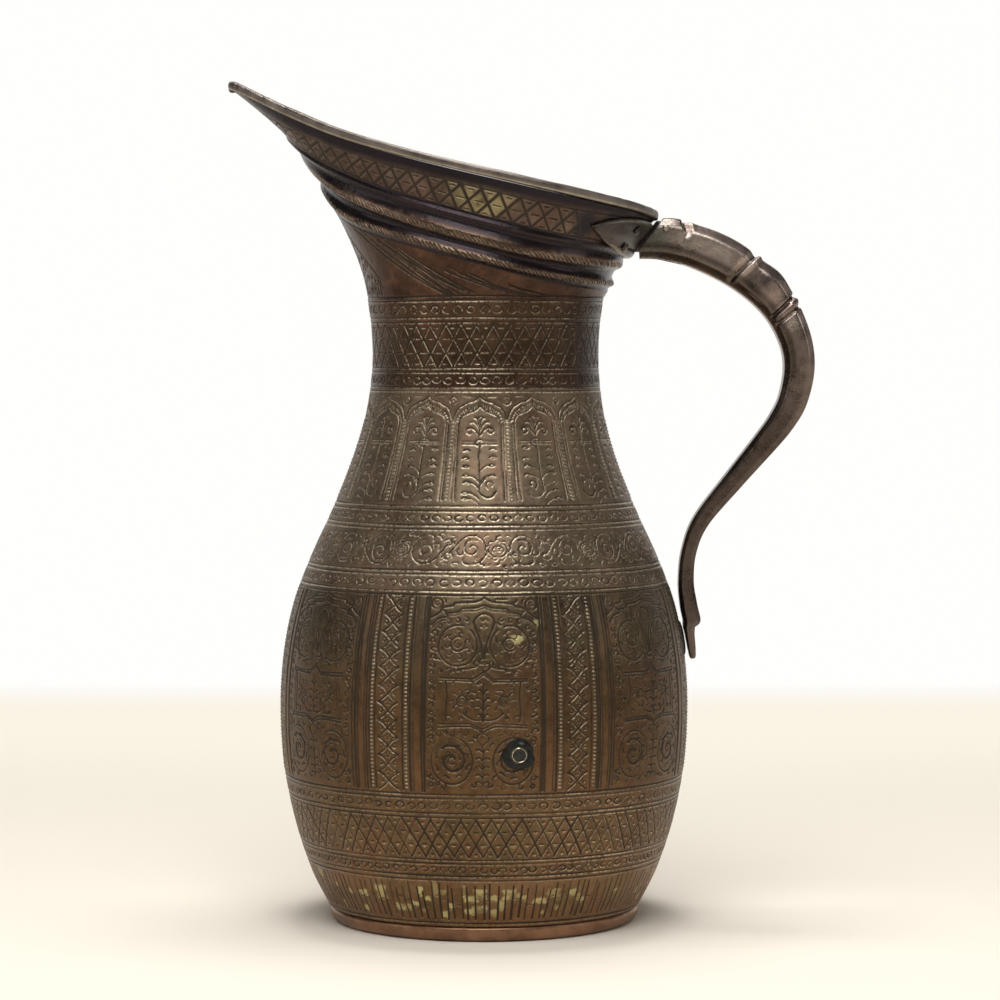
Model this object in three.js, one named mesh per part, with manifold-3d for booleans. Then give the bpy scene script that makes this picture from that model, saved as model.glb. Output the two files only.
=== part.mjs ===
// A copper ewer: a pear-shaped body, a straight neck, a slanting mouth drawn out into a beak,
// and a cast handle pinned to a leaf-ended saddle. Millimetres, +Z up. The vessel's axis is the
// Z axis, the handle is at +X, the beak at -X, and the foot stands on Z = 0.

import * as THREE from "three";
import { mergeVertices } from "three/addons/utils/BufferGeometryUtils.js";
import Module from "manifold-3d";

const wasm = await Module();
wasm.setup();

// Driving dimensions
const SEGMENTS = 48; // facets round the vessel
const WALL = 1.2; // thickness of the copper sheet
const GAP = 0.35; // room for solder between pieces that meet
const FULL_TURN = 2 * Math.PI;

// The body's outline, as height and outer radius, from the foot to the top of the neck
const BODY_OUTLINE = [
  [5.8, 56.4],
  [18, 62.6],
  [36, 68.6],
  [56, 72.6],
  [78, 73.9],
  [98, 72.6],
  [116, 68.9],
  [132, 62.9],
  [150, 54.7],
  [168, 47.6],
  [184, 43.1],
  [200, 41.1],
  [214, 41.3],
  [224.5, 42.6],
];
const BODY_BOTTOM = BODY_OUTLINE[0][0];
const NECK_TOP = BODY_OUTLINE.at(-1)[0];
const NECK_TOP_RADIUS = BODY_OUTLINE.at(-1)[1];
const LEAN = 0.55; // the neck stands this far towards the handle
const LEAN_LOW = 162; // the neck starts to lean here
const LEAN_HIGH = 205; // and leans fully from here

// The mouth's guide outlines seen from above: reach to the handle side, reach to the beak,
// half width, where the two halves meet, how pointed the front is, and how full the beak's tip is
const SEAM_PLAN = { back: 44.8, front: 56.5, half: 46.3, centre: 0, point: 0.62, tip: 0 };
const RIM_PLAN = { back: 61.3, front: 90.6, half: 51.5, centre: 8, point: 1.25, tip: 20 };
const ROUND_PLAN = {
  back: NECK_TOP_RADIUS + LEAN,
  front: NECK_TOP_RADIUS - LEAN,
  half: NECK_TOP_RADIUS,
  centre: LEAN,
  point: 0.5,
  tip: 0,
};
const THROAT_FLARE = 1.5; // power by which the throat opens towards the seam
const COLLAR_FLARE = { back: 1.6, side: 1.45, front: 1.5 }; // the same for collar and rim

// Height of the seam between throat and collar
const SEAM_LOW = 227.9;
const SEAM_RISE = 25.2;
const SEAM_PEAK = 8.9;

// The rim's top in side view, as distance from the axis towards the handle and height
const RIM_LINE = [
  [-93, 305.0],
  [-83, 300.0],
  [-70, 293.4],
  [-50, 284.6],
  [-22, 275.9],
  [13, 267.4],
  [40, 261.6],
  [54, 258.9],
  [63, 256.3],
];

// The two rope ridges of the collar, as shares of the way from seam to rim
const RIDGES = [
  { crest: { back: 0.12, side: 0.08, front: 0.09 }, below: 0.09, above: 0.11 },
  { crest: { back: 0.39, side: 0.29, front: 0.34 }, below: 0.12, above: 0.16 },
];
const RIDGE_HEIGHT = 1.7;

// Rolled lip
const LIP_HEIGHT = 3.2;
const LIP_OUT = 1.9; // overhang past the collar
const LIP_IN = 1.5;

// Joint between belly and neck
const SHOULDER_SEAM = 123.8;
const LAP = 5; // overlap of the two sheets

// Foot and base
const FOOT_HEIGHT = 5.4;
const FOOT_RADIUS = 56.3;
const BASE_RADIUS = 49.5;
const BASE_THICKNESS = 1.5;

// Handle: centre line in the XZ plane with half depth and half width of the bar at each station
const HANDLE_STATIONS = [
  [53.6, 246.6, 6.9, 6.6],
  [61.4, 246.8, 7.1, 6.8],
  [67.9, 246.5, 7.8, 7.4],
  [74.9, 244.6, 7.6, 7.5],
  [82.2, 241.9, 7.8, 7.5],
  [89.4, 238.2, 7.7, 7.4],
  [96.7, 233.0, 7.2, 7.3],
  [103.6, 226.8, 6.9, 7.2],
  [109.2, 218.7, 6.2, 7.0],
  [113.2, 208.5, 5.7, 6.9],
  [114.0, 199.0, 5.5, 6.8],
  [111.8, 188.6, 5.2, 6.6],
  [107.8, 181.0, 4.8, 6.5],
  [102.5, 174.0, 4.4, 6.3],
  [90.4, 159.5, 3.6, 6.0],
  [78.8, 145.0, 3.0, 5.6],
  [74.4, 134.0, 2.7, 5.3],
  [73.3, 123.2, 2.8, 5.2],
  [74.2, 114.8, 3.1, 5.1],
  [75.4, 109.2, 3.2, 5.0],
];
// The tongue below the heel, soldered to the belly
const TONGUE_STATIONS = [
  [74.4, 107.0, 2.1, 4.6],
  [74.6, 103.5, 1.55, 4.2],
  [75.3, 98.5, 1.3, 3.4],
  [75.7, 94.6, 0.9, 1.8],
];
// Cuts and beads across the bar: share of the bar's length, half length of the feature, change of size
const KNUCKLES = [
  { at: 0.135, reach: 0.012, swell: -0.13 },
  { at: 0.298, reach: 0.01, swell: -0.12 },
  { at: 0.348, reach: 0.028, swell: 0.045 },
  { at: 0.4, reach: 0.008, swell: -0.12 },
  { at: 0.414, reach: 0.007, swell: 0.05 },
];
const HANDLE_CHAMFER = 0.42; // chamfer as a share of the smaller half size
const HANDLE_STEPS = 52;

// Saddle: leaf-ended plate round the back of the collar, with a lug that enters the handle
const SADDLE_REACH = THREE.MathUtils.degToRad(49.5);
const SADDLE_THICKNESS = 1.8;
const SADDLE_LOW = 0.52; // lower and upper edge at the middle, as shares from seam to rim
const SADDLE_HIGH = 0.97;
const LUG_HALF_WIDTH = 3.2;
const LUG_END = 71;
const LUG_LOW = 242.2;
const LUG_HIGH = 253.4;
const SLOT_CLEARANCE = 0.35;
const PIN_X = 65.5;
const PIN_Z = 250.6;
const PIN_RADIUS = 1.3;
// The handle's front end is cut along the saddle's slope
const FRONT_END = [
  [56.3, 232],
  [56.3, 243.2],
  [64.6, 253.8],
  [64.6, 262],
];

// Small rivets of the saddle, as angle from the handle and share from seam to rim
const SADDLE_RIVET_ANGLE = THREE.MathUtils.degToRad(24);
const SADDLE_RIVET_LEVELS = { lower: 0.62, upper: 0.85 };
const RIVET_SHANK = 0.9;
const RIVET_HEAD = 1.6;
const RIVET_HEAD_THICKNESS = 0.6;

// Repair in the belly: a headed plug inside a ring of solder
const REPAIR_ANGLE = THREE.MathUtils.degToRad(9.6); // from the side that faces -Y, towards +X
const REPAIR_HEIGHT = 67.9;
const PLUG_SHANK = 1.9;
const PLUG_HEAD = 2.9;
const PLUG_HEAD_THICKNESS = 0.9;
const PATCH_INNER = 3.4;
const PATCH_OUTER = 6.2;
const PATCH_THICKNESS = 0.5;

// Pad of solder behind the handle's tongue
const PAD_LOW = 98;
const PAD_HIGH = 107;
const PAD_HALF_WIDTH = 3;
const PAD_THICKNESS = 0.5;

const copper = new THREE.MeshStandardMaterial({ color: 0x5d4a3c, metalness: 0.9, roughness: 0.45 });
const wornCopper = new THREE.MeshStandardMaterial({ color: 0x7c5f4a, metalness: 0.9, roughness: 0.4 });
const lipMetal = new THREE.MeshStandardMaterial({ color: 0x8a7a6a, metalness: 0.9, roughness: 0.4 });
const castMetal = new THREE.MeshStandardMaterial({ color: 0x5a4640, metalness: 0.9, roughness: 0.38 });
const solder = new THREE.MeshStandardMaterial({ color: 0x35352f, metalness: 0.7, roughness: 0.55 });

const mix = (a, b, share) => a + (b - a) * share;

// A smooth curve through [position, value] pairs
function smoothThrough(pairs) {
  const slope = (i) => {
    const a = pairs[Math.max(i - 1, 0)];
    const b = pairs[Math.min(i + 1, pairs.length - 1)];
    return (b[1] - a[1]) / (b[0] - a[0]);
  };
  return (position) => {
    let i = 0;
    while (i < pairs.length - 2 && position > pairs[i + 1][0]) i++;
    const width = pairs[i + 1][0] - pairs[i][0];
    const u = (position - pairs[i][0]) / width;
    const u2 = u * u;
    const u3 = u2 * u;
    return (
      pairs[i][1] * (2 * u3 - 3 * u2 + 1) +
      pairs[i + 1][1] * (3 * u2 - 2 * u3) +
      slope(i) * width * (u3 - 2 * u2 + u) +
      slope(i + 1) * width * (u3 - u2)
    );
  };
}
const bodyRadius = smoothThrough(BODY_OUTLINE);
const rimHeight = smoothThrough(RIM_LINE);

// A value given at the back, at the sides and at the front, blended round the vessel
function blended(angle, { back, side, front }) {
  const c = Math.cos(angle);
  return mix(side, c > 0 ? back : front, c * c);
}

// The vessel's outer surface, in three parts that follow each other upwards

function planPoint(angle, plan) {
  const c = Math.cos(angle);
  const s = Math.sin(angle);
  if (c >= 0) return [plan.centre + (plan.back - plan.centre) * c, plan.half * s];
  const q = Math.max(s * s, 0);
  const y = plan.half * Math.pow(q, plan.point) + plan.tip * Math.sqrt(q) * Math.pow(c, 8);
  return [plan.centre + (plan.front + plan.centre) * c, Math.sign(s) * y];
}

function mixedPlan(a, b, share) {
  return Object.fromEntries(Object.keys(a).map((key) => [key, mix(a[key], b[key], share)]));
}

function seamHeight(angle) {
  const u = (1 - Math.cos(angle)) / 2;
  return SEAM_LOW + SEAM_RISE * Math.pow(u, 1.6) + SEAM_PEAK * Math.pow(u, 24);
}

function collarTopHeight(angle) {
  return rimHeight(planPoint(angle, RIM_PLAN)[0]) - LIP_HEIGHT - GAP;
}

function bodyPoint(angle, z) {
  const r = bodyRadius(z);
  const lean = LEAN * THREE.MathUtils.smoothstep(z, LEAN_LOW, LEAN_HIGH);
  return new THREE.Vector3(r * Math.cos(angle) + lean, r * Math.sin(angle), z);
}

function throatPoint(angle, share) {
  const plan = mixedPlan(ROUND_PLAN, SEAM_PLAN, Math.pow(Math.max(share, 0), THROAT_FLARE));
  const [x, y] = planPoint(angle, plan);
  return new THREE.Vector3(x, y, mix(NECK_TOP, seamHeight(angle), share));
}

function plainCollarPoint(angle, share) {
  const opening = Math.pow(Math.max(share, 0), blended(angle, COLLAR_FLARE));
  const [x, y] = planPoint(angle, mixedPlan(SEAM_PLAN, RIM_PLAN, opening));
  return new THREE.Vector3(x, y, mix(seamHeight(angle), collarTopHeight(angle), share));
}

function ridgeHeight(angle, level) {
  return RIDGES.reduce((sum, ridge) => {
    const crest = blended(angle, ridge.crest);
    const away = Math.abs(level - crest) / (level < crest ? ridge.below : ridge.above);
    return away < 1 ? sum + RIDGE_HEIGHT * Math.pow(Math.cos((away * Math.PI) / 2), 2) : sum;
  }, 0);
}

// Outward normal of a surface given as a function of angle and height
function normalOf(surface, angle, at) {
  const step = 1e-3;
  const round = surface(angle + step, at).sub(surface(angle - step, at));
  const up = surface(angle, at + step).sub(surface(angle, at - step));
  return round.cross(up).normalize();
}

function inside(surface, angle, at, depth) {
  return surface(angle, at).addScaledVector(normalOf(surface, angle, at), -depth);
}

function collarPoint(angle, level) {
  return inside(plainCollarPoint, angle, level, -ridgeHeight(angle, level));
}

// Meshes

function meshFrom(vertices, triangles) {
  const geometry = new THREE.BufferGeometry();
  geometry.setAttribute("position", new THREE.Float32BufferAttribute(vertices.flatMap((v) => v.toArray()), 3));
  geometry.setIndex(triangles.flat());
  return geometry;
}

// A ring-shaped skin between matching rows of outer and inner points, listed upwards
function closedRing(outer, inner) {
  const count = outer[0].length;
  const loop = [...outer, ...inner.toReversed()];
  const vertices = loop.flat();
  const triangles = [];
  for (let i = 0; i < loop.length; i++) {
    const next = (i + 1) % loop.length;
    for (let j = 0; j < count; j++) {
      const k = (j + 1) % count;
      const [a, b, c, d] = [i * count + j, i * count + k, next * count + k, next * count + j];
      triangles.push([a, b, c], [a, c, d]);
    }
  }
  return meshFrom(vertices, triangles);
}

// A strip-shaped skin: matching rows of outer and inner points that don't close round the axis
function closedStrip(outer, inner) {
  const rows = outer.length;
  const count = outer[0].length;
  const vertices = [...outer.flat(), ...inner.flat()];
  const out = (i, j) => i * count + j;
  const inn = (i, j) => rows * count + i * count + j;
  const triangles = [];
  const quad = (a, b, c, d) => triangles.push([a, b, c], [a, c, d]);
  for (let i = 0; i < rows - 1; i++) {
    for (let j = 0; j < count - 1; j++) {
      quad(out(i, j), out(i, j + 1), out(i + 1, j + 1), out(i + 1, j));
      quad(inn(i, j), inn(i + 1, j), inn(i + 1, j + 1), inn(i, j + 1));
    }
    quad(out(i, 0), out(i + 1, 0), inn(i + 1, 0), inn(i, 0));
    quad(out(i, count - 1), inn(i, count - 1), inn(i + 1, count - 1), out(i + 1, count - 1));
  }
  for (let j = 0; j < count - 1; j++) {
    quad(out(0, j), inn(0, j), inn(0, j + 1), out(0, j + 1));
    quad(out(rows - 1, j), out(rows - 1, j + 1), inn(rows - 1, j + 1), inn(rows - 1, j));
  }
  return meshFrom(vertices, triangles);
}

const ANGLES = Array.from({ length: SEGMENTS }, (_, j) => (j / SEGMENTS) * FULL_TURN);
const rowOf = (pointAt) => ANGLES.map(pointAt);

function turned(profile) {
  const points = profile.map(([r, z]) => new THREE.Vector2(r, z));
  return new THREE.LatheGeometry(points, SEGMENTS).rotateX(Math.PI / 2);
}

// Boolean work

function solidOf(geometry) {
  const bare = new THREE.BufferGeometry();
  bare.setAttribute("position", geometry.getAttribute("position"));
  if (geometry.index) bare.setIndex(geometry.index);
  const merged = mergeVertices(bare, 1e-4);
  return new wasm.Manifold(
    new wasm.Mesh({
      numProp: 3,
      vertProperties: merged.getAttribute("position").array,
      triVerts: new Uint32Array(merged.index.array),
    }),
  );
}

function geometryOf(solid) {
  const mesh = solid.getMesh();
  const geometry = new THREE.BufferGeometry();
  geometry.setAttribute("position", new THREE.BufferAttribute(mesh.vertProperties, 3));
  geometry.setIndex(new THREE.BufferAttribute(mesh.triVerts, 1));
  return geometry;
}

function cutBy(geometry, ...tools) {
  return geometryOf(tools.reduce((solid, tool) => solid.subtract(solidOf(tool)), solidOf(geometry)));
}

// A cylinder or other lathe shape, its axis turned from Y to a given direction and moved to a point
function aimed(geometry, point, direction) {
  const turn = new THREE.Quaternion().setFromUnitVectors(new THREE.Vector3(0, 1, 0), direction);
  return geometry.applyQuaternion(turn).translate(point.x, point.y, point.z);
}

// Vessel

const onAll = (surface, at, depth) => rowOf((angle) => inside(surface, angle, at, depth));

const REPAIR_BEARING = REPAIR_ANGLE - Math.PI / 2;
const repairPoint = bodyPoint(REPAIR_BEARING, REPAIR_HEIGHT);
const repairNormal = normalOf(bodyPoint, REPAIR_BEARING, REPAIR_HEIGHT);

function bellyShell() {
  const heights = [BODY_BOTTOM + GAP, 12, 20, 30, 42, 56, 70, 84, 98, 109, 117, SHOULDER_SEAM];
  const outer = heights.map((z) => onAll(bodyPoint, z, 0));
  const inner = heights.map((z) => onAll(bodyPoint, z, WALL));
  const hole = aimed(
    new THREE.CylinderGeometry(PLUG_SHANK + GAP, PLUG_SHANK + GAP, 6 * WALL, 16),
    repairPoint,
    repairNormal,
  );
  return cutBy(closedRing(outer, inner), hole);
}

// The neck sheet slips inside the belly at its foot and inside the collar at its top
function neckShell() {
  const sunk = WALL + GAP;
  const outer = [
    onAll(bodyPoint, SHOULDER_SEAM - LAP, sunk),
    onAll(bodyPoint, SHOULDER_SEAM + GAP, sunk),
    onAll(bodyPoint, SHOULDER_SEAM + GAP + 0.02, 0),
  ];
  const inner = [
    onAll(bodyPoint, SHOULDER_SEAM - LAP, sunk + WALL),
    onAll(bodyPoint, SHOULDER_SEAM - 1, sunk + WALL),
    onAll(bodyPoint, SHOULDER_SEAM + 2, WALL),
  ];
  for (const z of [132, 141, 150, 159, 168, 177, 186, 198, 212, NECK_TOP - 0.5]) {
    outer.push(onAll(bodyPoint, z, 0));
    inner.push(onAll(bodyPoint, z, WALL));
  }
  for (const share of [0.3, 0.6]) {
    outer.push(onAll(throatPoint, share, 0));
    inner.push(onAll(throatPoint, share, WALL));
  }
  const belowSeam = (angle) => 1 - GAP / (seamHeight(angle) - NECK_TOP);
  outer.push(rowOf((angle) => throatPoint(angle, belowSeam(angle))));
  inner.push(onAll(throatPoint, 0.8, WALL));
  for (const level of [0, 0.13]) {
    outer.push(rowOf((angle) => lapPoint(angle, level, sunk)));
    inner.push(rowOf((angle) => lapPoint(angle, level, sunk + WALL)));
  }
  return closedRing(outer, inner);
}

// A point under the collar, for the neck's tucked-in edge
function lapPoint(angle, level, depth) {
  const lowered = level === 0 ? GAP : 0;
  const point = inside(plainCollarPoint, angle, level, depth);
  point.z -= lowered;
  return point;
}

function mouthCollar(holes) {
  const levels = [0, 0.045, 0.09, 0.15, 0.22, 0.285, 0.345, 0.42, 0.505, 0.585, 0.68, 0.78, 0.87, 0.94, 1];
  const outer = levels.map((level) => onAll(collarPoint, level, 0));
  const inner = levels.slice(0, -1).map((level) => onAll(collarPoint, level, WALL));
  inner.push(rowOf(collarEdge));
  return cutBy(closedRing(outer, inner), ...holes);
}

// The collar's top edge is cut level, so its inner corner lies straight inwards of the outer one
function collarEdge(angle) {
  const normal = normalOf(collarPoint, angle, 1);
  const flat = Math.hypot(normal.x, normal.y);
  const inwards = new THREE.Vector3(-normal.x, -normal.y, 0).divideScalar(flat);
  return collarPoint(angle, 1).addScaledVector(inwards, Math.min(WALL / flat, 2 * WALL));
}

// The lip is a flat-sided roll that stands on the collar's edge
function lipRoll() {
  const section = [
    [-LIP_IN, 0.9],
    [-LIP_IN * 0.6, 0],
    [LIP_OUT * 0.6, 0],
    [LIP_OUT, 0.8],
    [LIP_OUT, LIP_HEIGHT - 0.8],
    [LIP_OUT * 0.6, LIP_HEIGHT],
    [-LIP_IN * 0.6, LIP_HEIGHT],
    [-LIP_IN, LIP_HEIGHT - 0.9],
  ];
  const rimPlanPoint = (angle) => {
    const [x, y] = planPoint(angle, RIM_PLAN);
    return new THREE.Vector3(x, y, rimHeight(x) - LIP_HEIGHT);
  };
  const corner = ([out, up]) =>
    rowOf((angle) => {
      const ahead = rimPlanPoint(angle + 1e-3).sub(rimPlanPoint(angle - 1e-3));
      const away = new THREE.Vector3(ahead.y, -ahead.x, 0).normalize();
      return rimPlanPoint(angle)
        .addScaledVector(away, out)
        .add(new THREE.Vector3(0, 0, up));
    });
  return closedRing(section.map(corner), []);
}

function footRing() {
  return turned([
    [BASE_RADIUS + GAP, 0],
    [54.4, 0],
    [55.6, 0.5],
    [56.2, 1.7],
    [FOOT_RADIUS, 3.6],
    [FOOT_RADIUS, FOOT_HEIGHT - 0.2],
    [55.6, FOOT_HEIGHT],
    [54.4, FOOT_HEIGHT],
    [55.6, 9.5],
    [54.2, 9.5],
    [52.4, 4.2],
    [BASE_RADIUS + GAP, 2.4],
    [BASE_RADIUS + GAP, 0],
  ]);
}

function basePlate() {
  return turned([
    [0, 0],
    [BASE_RADIUS, 0],
    [BASE_RADIUS, BASE_THICKNESS],
    [0, BASE_THICKNESS],
  ]);
}

// Handle

function barSection(centre, along, depth, width) {
  const out = new THREE.Vector3(-along.z, 0, along.x);
  const side = new THREE.Vector3(0, 1, 0);
  const chamfer = HANDLE_CHAMFER * Math.min(depth, width);
  const corners = [
    [width, depth - chamfer],
    [width - chamfer, depth],
    [chamfer - width, depth],
    [-width, depth - chamfer],
    [-width, chamfer - depth],
    [chamfer - width, -depth],
    [width - chamfer, -depth],
    [width, chamfer - depth],
  ];
  return corners.map(([y, d]) => centre.clone().addScaledVector(side, y).addScaledVector(out, d));
}

// A solid through a list of sections, closed at both ends
function lofted(sections) {
  const count = sections[0].length;
  const vertices = sections.flat();
  const triangles = [];
  for (let i = 0; i < sections.length - 1; i++) {
    for (let j = 0; j < count; j++) {
      const k = (j + 1) % count;
      const [a, b, c, d] = [i * count + j, i * count + k, (i + 1) * count + k, (i + 1) * count + j];
      triangles.push([a, b, c], [a, c, d]);
    }
  }
  const last = (sections.length - 1) * count;
  for (let j = 1; j < count - 1; j++) {
    triangles.push([0, j + 1, j], [last, last + j, last + j + 1]);
  }
  return meshFrom(vertices, triangles);
}

function knuckleScale(share) {
  return KNUCKLES.reduce((scale, knuckle) => {
    const away = Math.abs(share - knuckle.at) / knuckle.reach;
    return away < 1 ? scale + knuckle.swell * Math.pow(Math.cos((away * Math.PI) / 2), 2) : scale;
  }, 1);
}

function handleBar() {
  const curve = new THREE.CatmullRomCurve3(
    HANDLE_STATIONS.map(([x, z]) => new THREE.Vector3(x, 0, z)),
    false,
    "centripetal",
  );
  const depthAt = smoothThrough(HANDLE_STATIONS.map((s, i) => [i / (HANDLE_STATIONS.length - 1), s[2]]));
  const widthAt = smoothThrough(HANDLE_STATIONS.map((s, i) => [i / (HANDLE_STATIONS.length - 1), s[3]]));
  const regular = Array.from({ length: HANDLE_STEPS + 1 }, (_, i) => i / HANDLE_STEPS);
  const extra = KNUCKLES.flatMap(({ at, reach }) => [at - reach, at - reach / 2, at, at + reach / 2, at + reach]);
  const shares = [...regular.filter((s) => !extra.some((e) => Math.abs(e - s) < 0.006)), ...extra];
  shares.sort((a, b) => a - b);
  const sections = shares.map((share) => {
    const scale = knuckleScale(share);
    return barSection(
      curve.getPoint(share),
      curve.getTangent(share),
      depthAt(share) * scale,
      widthAt(share) * scale,
    );
  });
  for (const [x, z, depth, width] of TONGUE_STATIONS) {
    sections.push(barSection(new THREE.Vector3(x, 0, z), new THREE.Vector3(0.12, 0, -0.993), depth, width));
  }
  const slotEnd = LUG_END + SLOT_CLEARANCE;
  const slot = new THREE.BoxGeometry(40, 2 * (LUG_HALF_WIDTH + SLOT_CLEARANCE), 60).translate(
    slotEnd - 20,
    0,
    LUG_HIGH - 10,
  );
  return cutBy(lofted(sections), slot, frontCut(), crossHole());
}

function frontCut() {
  const outline = new THREE.Shape();
  outline.moveTo(40, FRONT_END[0][1]);
  FRONT_END.forEach(([x, z]) => outline.lineTo(x, z));
  outline.lineTo(40, FRONT_END.at(-1)[1]);
  outline.closePath();
  return new THREE.ExtrudeGeometry(outline, { depth: 30, bevelEnabled: false })
    .rotateX(Math.PI / 2)
    .translate(0, 15, 0);
}

function crossHole() {
  const radius = PIN_RADIUS + GAP;
  return new THREE.CylinderGeometry(radius, radius, 40, 16).translate(PIN_X, 0, PIN_Z);
}

function crossPin() {
  const reach = 8.1;
  return new THREE.LatheGeometry(
    [
      [0, -reach - 0.5],
      [PIN_RADIUS * 0.8, -reach - 0.4],
      [PIN_RADIUS, -reach + 0.1],
      [PIN_RADIUS, reach - 0.1],
      [PIN_RADIUS * 0.8, reach + 0.4],
      [0, reach + 0.5],
    ].map(([r, y]) => new THREE.Vector2(r, y)),
    16,
  ).translate(PIN_X, 0, PIN_Z);
}

// Saddle: the plate follows the collar and ends in a point on each side
function saddlePlate() {
  const columns = 19;
  const rows = [0, 0.25, 0.5, 0.75, 1];
  const middle = (SADDLE_LOW + SADDLE_HIGH) / 2;
  const half = (SADDLE_HIGH - SADDLE_LOW) / 2;
  const grid = (depth) =>
    rows.map((row) =>
      Array.from({ length: columns }, (_, j) => {
        const share = (2 * j) / (columns - 1) - 1;
        const leaf = Math.max(1 - Math.pow(Math.abs(share), 4), 0.04);
        const level = middle + half * leaf * (2 * row - 1);
        return inside(collarPoint, share * SADDLE_REACH, level, depth);
      }),
    );
  return closedStrip(grid(-GAP - SADDLE_THICKNESS), grid(-GAP));
}

function lugBlock() {
  const outline = new THREE.Shape();
  outline.moveTo(53.6, LUG_LOW);
  outline.lineTo(LUG_END - 1, LUG_LOW);
  outline.lineTo(LUG_END, LUG_LOW + 1);
  outline.lineTo(LUG_END, LUG_HIGH - 1);
  outline.lineTo(LUG_END - 1, LUG_HIGH);
  outline.lineTo(62.4, LUG_HIGH);
  outline.closePath();
  return new THREE.ExtrudeGeometry(outline, { depth: 2 * LUG_HALF_WIDTH, bevelEnabled: false })
    .rotateX(Math.PI / 2)
    .translate(0, LUG_HALF_WIDTH, 0);
}

function handleSaddle(holes) {
  const joined = solidOf(saddlePlate()).add(solidOf(lugBlock()));
  return cutBy(geometryOf(joined), crossHole(), ...holes);
}

// A rivet that clamps from outside to inside: its origin is on the collar's outer face
function rivet(point, normal, shank, head, thickness, from, to) {
  const profile = [
    [0, to + thickness],
    [head * 0.7, to + thickness * 0.8],
    [head, to + thickness * 0.2],
    [head, to],
    [shank, to],
    [shank, from],
    [head, from],
    [head, from - thickness * 0.6],
    [0, from - thickness],
  ];
  const points = profile.toReversed().map(([r, y]) => new THREE.Vector2(r, y));
  return aimed(new THREE.LatheGeometry(points, 16), point, normal);
}

function saddleRivetSites() {
  const sites = {};
  for (const [side, sign] of [["near", -1], ["far", 1]]) {
    for (const [height, level] of Object.entries(SADDLE_RIVET_LEVELS)) {
      const angle = sign * SADDLE_RIVET_ANGLE;
      sites[`saddle_rivet_${side}_${height}`] = {
        point: collarPoint(angle, level),
        normal: normalOf(collarPoint, angle, level),
      };
    }
  }
  return sites;
}

const rivetHole = ({ point, normal }) =>
  aimed(new THREE.CylinderGeometry(RIVET_SHANK + GAP, RIVET_SHANK + GAP, 12, 12), point.clone(), normal);

// Solder that follows the belly

function solderPatch() {
  const turns = 24;
  const rings = [PATCH_INNER, (PATCH_INNER + PATCH_OUTER) / 2, PATCH_OUTER];
  const grid = (depth) =>
    rings.map((radius) =>
      Array.from({ length: turns }, (_, j) => {
        const turn = (j / turns) * FULL_TURN;
        const z = REPAIR_HEIGHT + radius * Math.sin(turn);
        const angle = REPAIR_BEARING + (radius * Math.cos(turn)) / bodyRadius(z);
        return inside(bodyPoint, angle, z, depth);
      }),
    );
  return closedRing(grid(-GAP), grid(-GAP - PATCH_THICKNESS));
}

function solderPad() {
  const heights = [PAD_LOW, (PAD_LOW + PAD_HIGH) / 2, PAD_HIGH];
  const shares = [-1, -0.5, 0, 0.5, 1];
  const grid = (depth) =>
    heights.map((z) =>
      shares.map((share) => inside(bodyPoint, (share * PAD_HALF_WIDTH) / bodyRadius(z), z, depth)),
    );
  return closedStrip(grid(-GAP - PAD_THICKNESS), grid(-GAP));
}

// Assembly

const ewer = new THREE.Group();

function place(name, geometry, material) {
  const mesh = new THREE.Mesh(geometry, material);
  mesh.name = name;
  ewer.add(mesh);
}

const sites = saddleRivetSites();
const holes = () => Object.values(sites).map(rivetHole);

place("base_plate", basePlate(), wornCopper);
place("foot_ring", footRing(), wornCopper);
place("belly_shell", bellyShell(), copper);
place("neck_shell", neckShell(), copper);
place("mouth_collar", mouthCollar(holes()), copper);
place("lip_roll", lipRoll(), lipMetal);
place("handle", handleBar(), castMetal);
place("handle_saddle", handleSaddle(holes()), castMetal);
place("handle_pin", crossPin(), lipMetal);
for (const [name, { point, normal }] of Object.entries(sites)) {
  const outside = 2 * GAP + SADDLE_THICKNESS;
  place(name, rivet(point, normal, RIVET_SHANK, RIVET_HEAD, RIVET_HEAD_THICKNESS, -WALL - GAP, outside), castMetal);
}
place(
  "repair_plug",
  rivet(repairPoint, repairNormal, PLUG_SHANK, PLUG_HEAD, PLUG_HEAD_THICKNESS, -WALL - GAP, GAP),
  wornCopper,
);
place("repair_solder", solderPatch(), solder);
place("tongue_solder", solderPad(), solder);

export default ewer;
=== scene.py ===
"""A copper ewer with chased bands all over its body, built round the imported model."""

import math

import bmesh
import bpy
import numpy as np
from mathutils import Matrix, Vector


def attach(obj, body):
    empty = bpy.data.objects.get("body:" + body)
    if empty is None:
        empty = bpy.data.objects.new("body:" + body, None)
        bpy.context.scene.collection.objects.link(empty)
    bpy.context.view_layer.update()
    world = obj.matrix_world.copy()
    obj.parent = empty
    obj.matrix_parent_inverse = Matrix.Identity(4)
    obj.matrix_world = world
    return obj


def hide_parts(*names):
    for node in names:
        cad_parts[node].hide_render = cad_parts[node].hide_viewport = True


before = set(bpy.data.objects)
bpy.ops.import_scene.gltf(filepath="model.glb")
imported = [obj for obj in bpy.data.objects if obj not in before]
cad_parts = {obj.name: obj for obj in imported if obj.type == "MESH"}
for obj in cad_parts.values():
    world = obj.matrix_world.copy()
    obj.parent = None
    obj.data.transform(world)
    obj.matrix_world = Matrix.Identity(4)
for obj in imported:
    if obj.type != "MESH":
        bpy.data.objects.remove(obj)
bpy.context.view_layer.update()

bl_info = {
    "name": "Chased copper ewer",
    "version": (1, 0, 0),
    "blender": (4, 5, 0),
    "location": "3D View > Sidebar > Ewer",
    "description": "Makes a copper ewer with engraved bands, a beaked mouth and a cast handle",
    "category": "Add Mesh",
}

# Metres in a millimetre
MM = 0.001

# Sizes shared with the solids, in millimetres

WALL = 1.2
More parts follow.
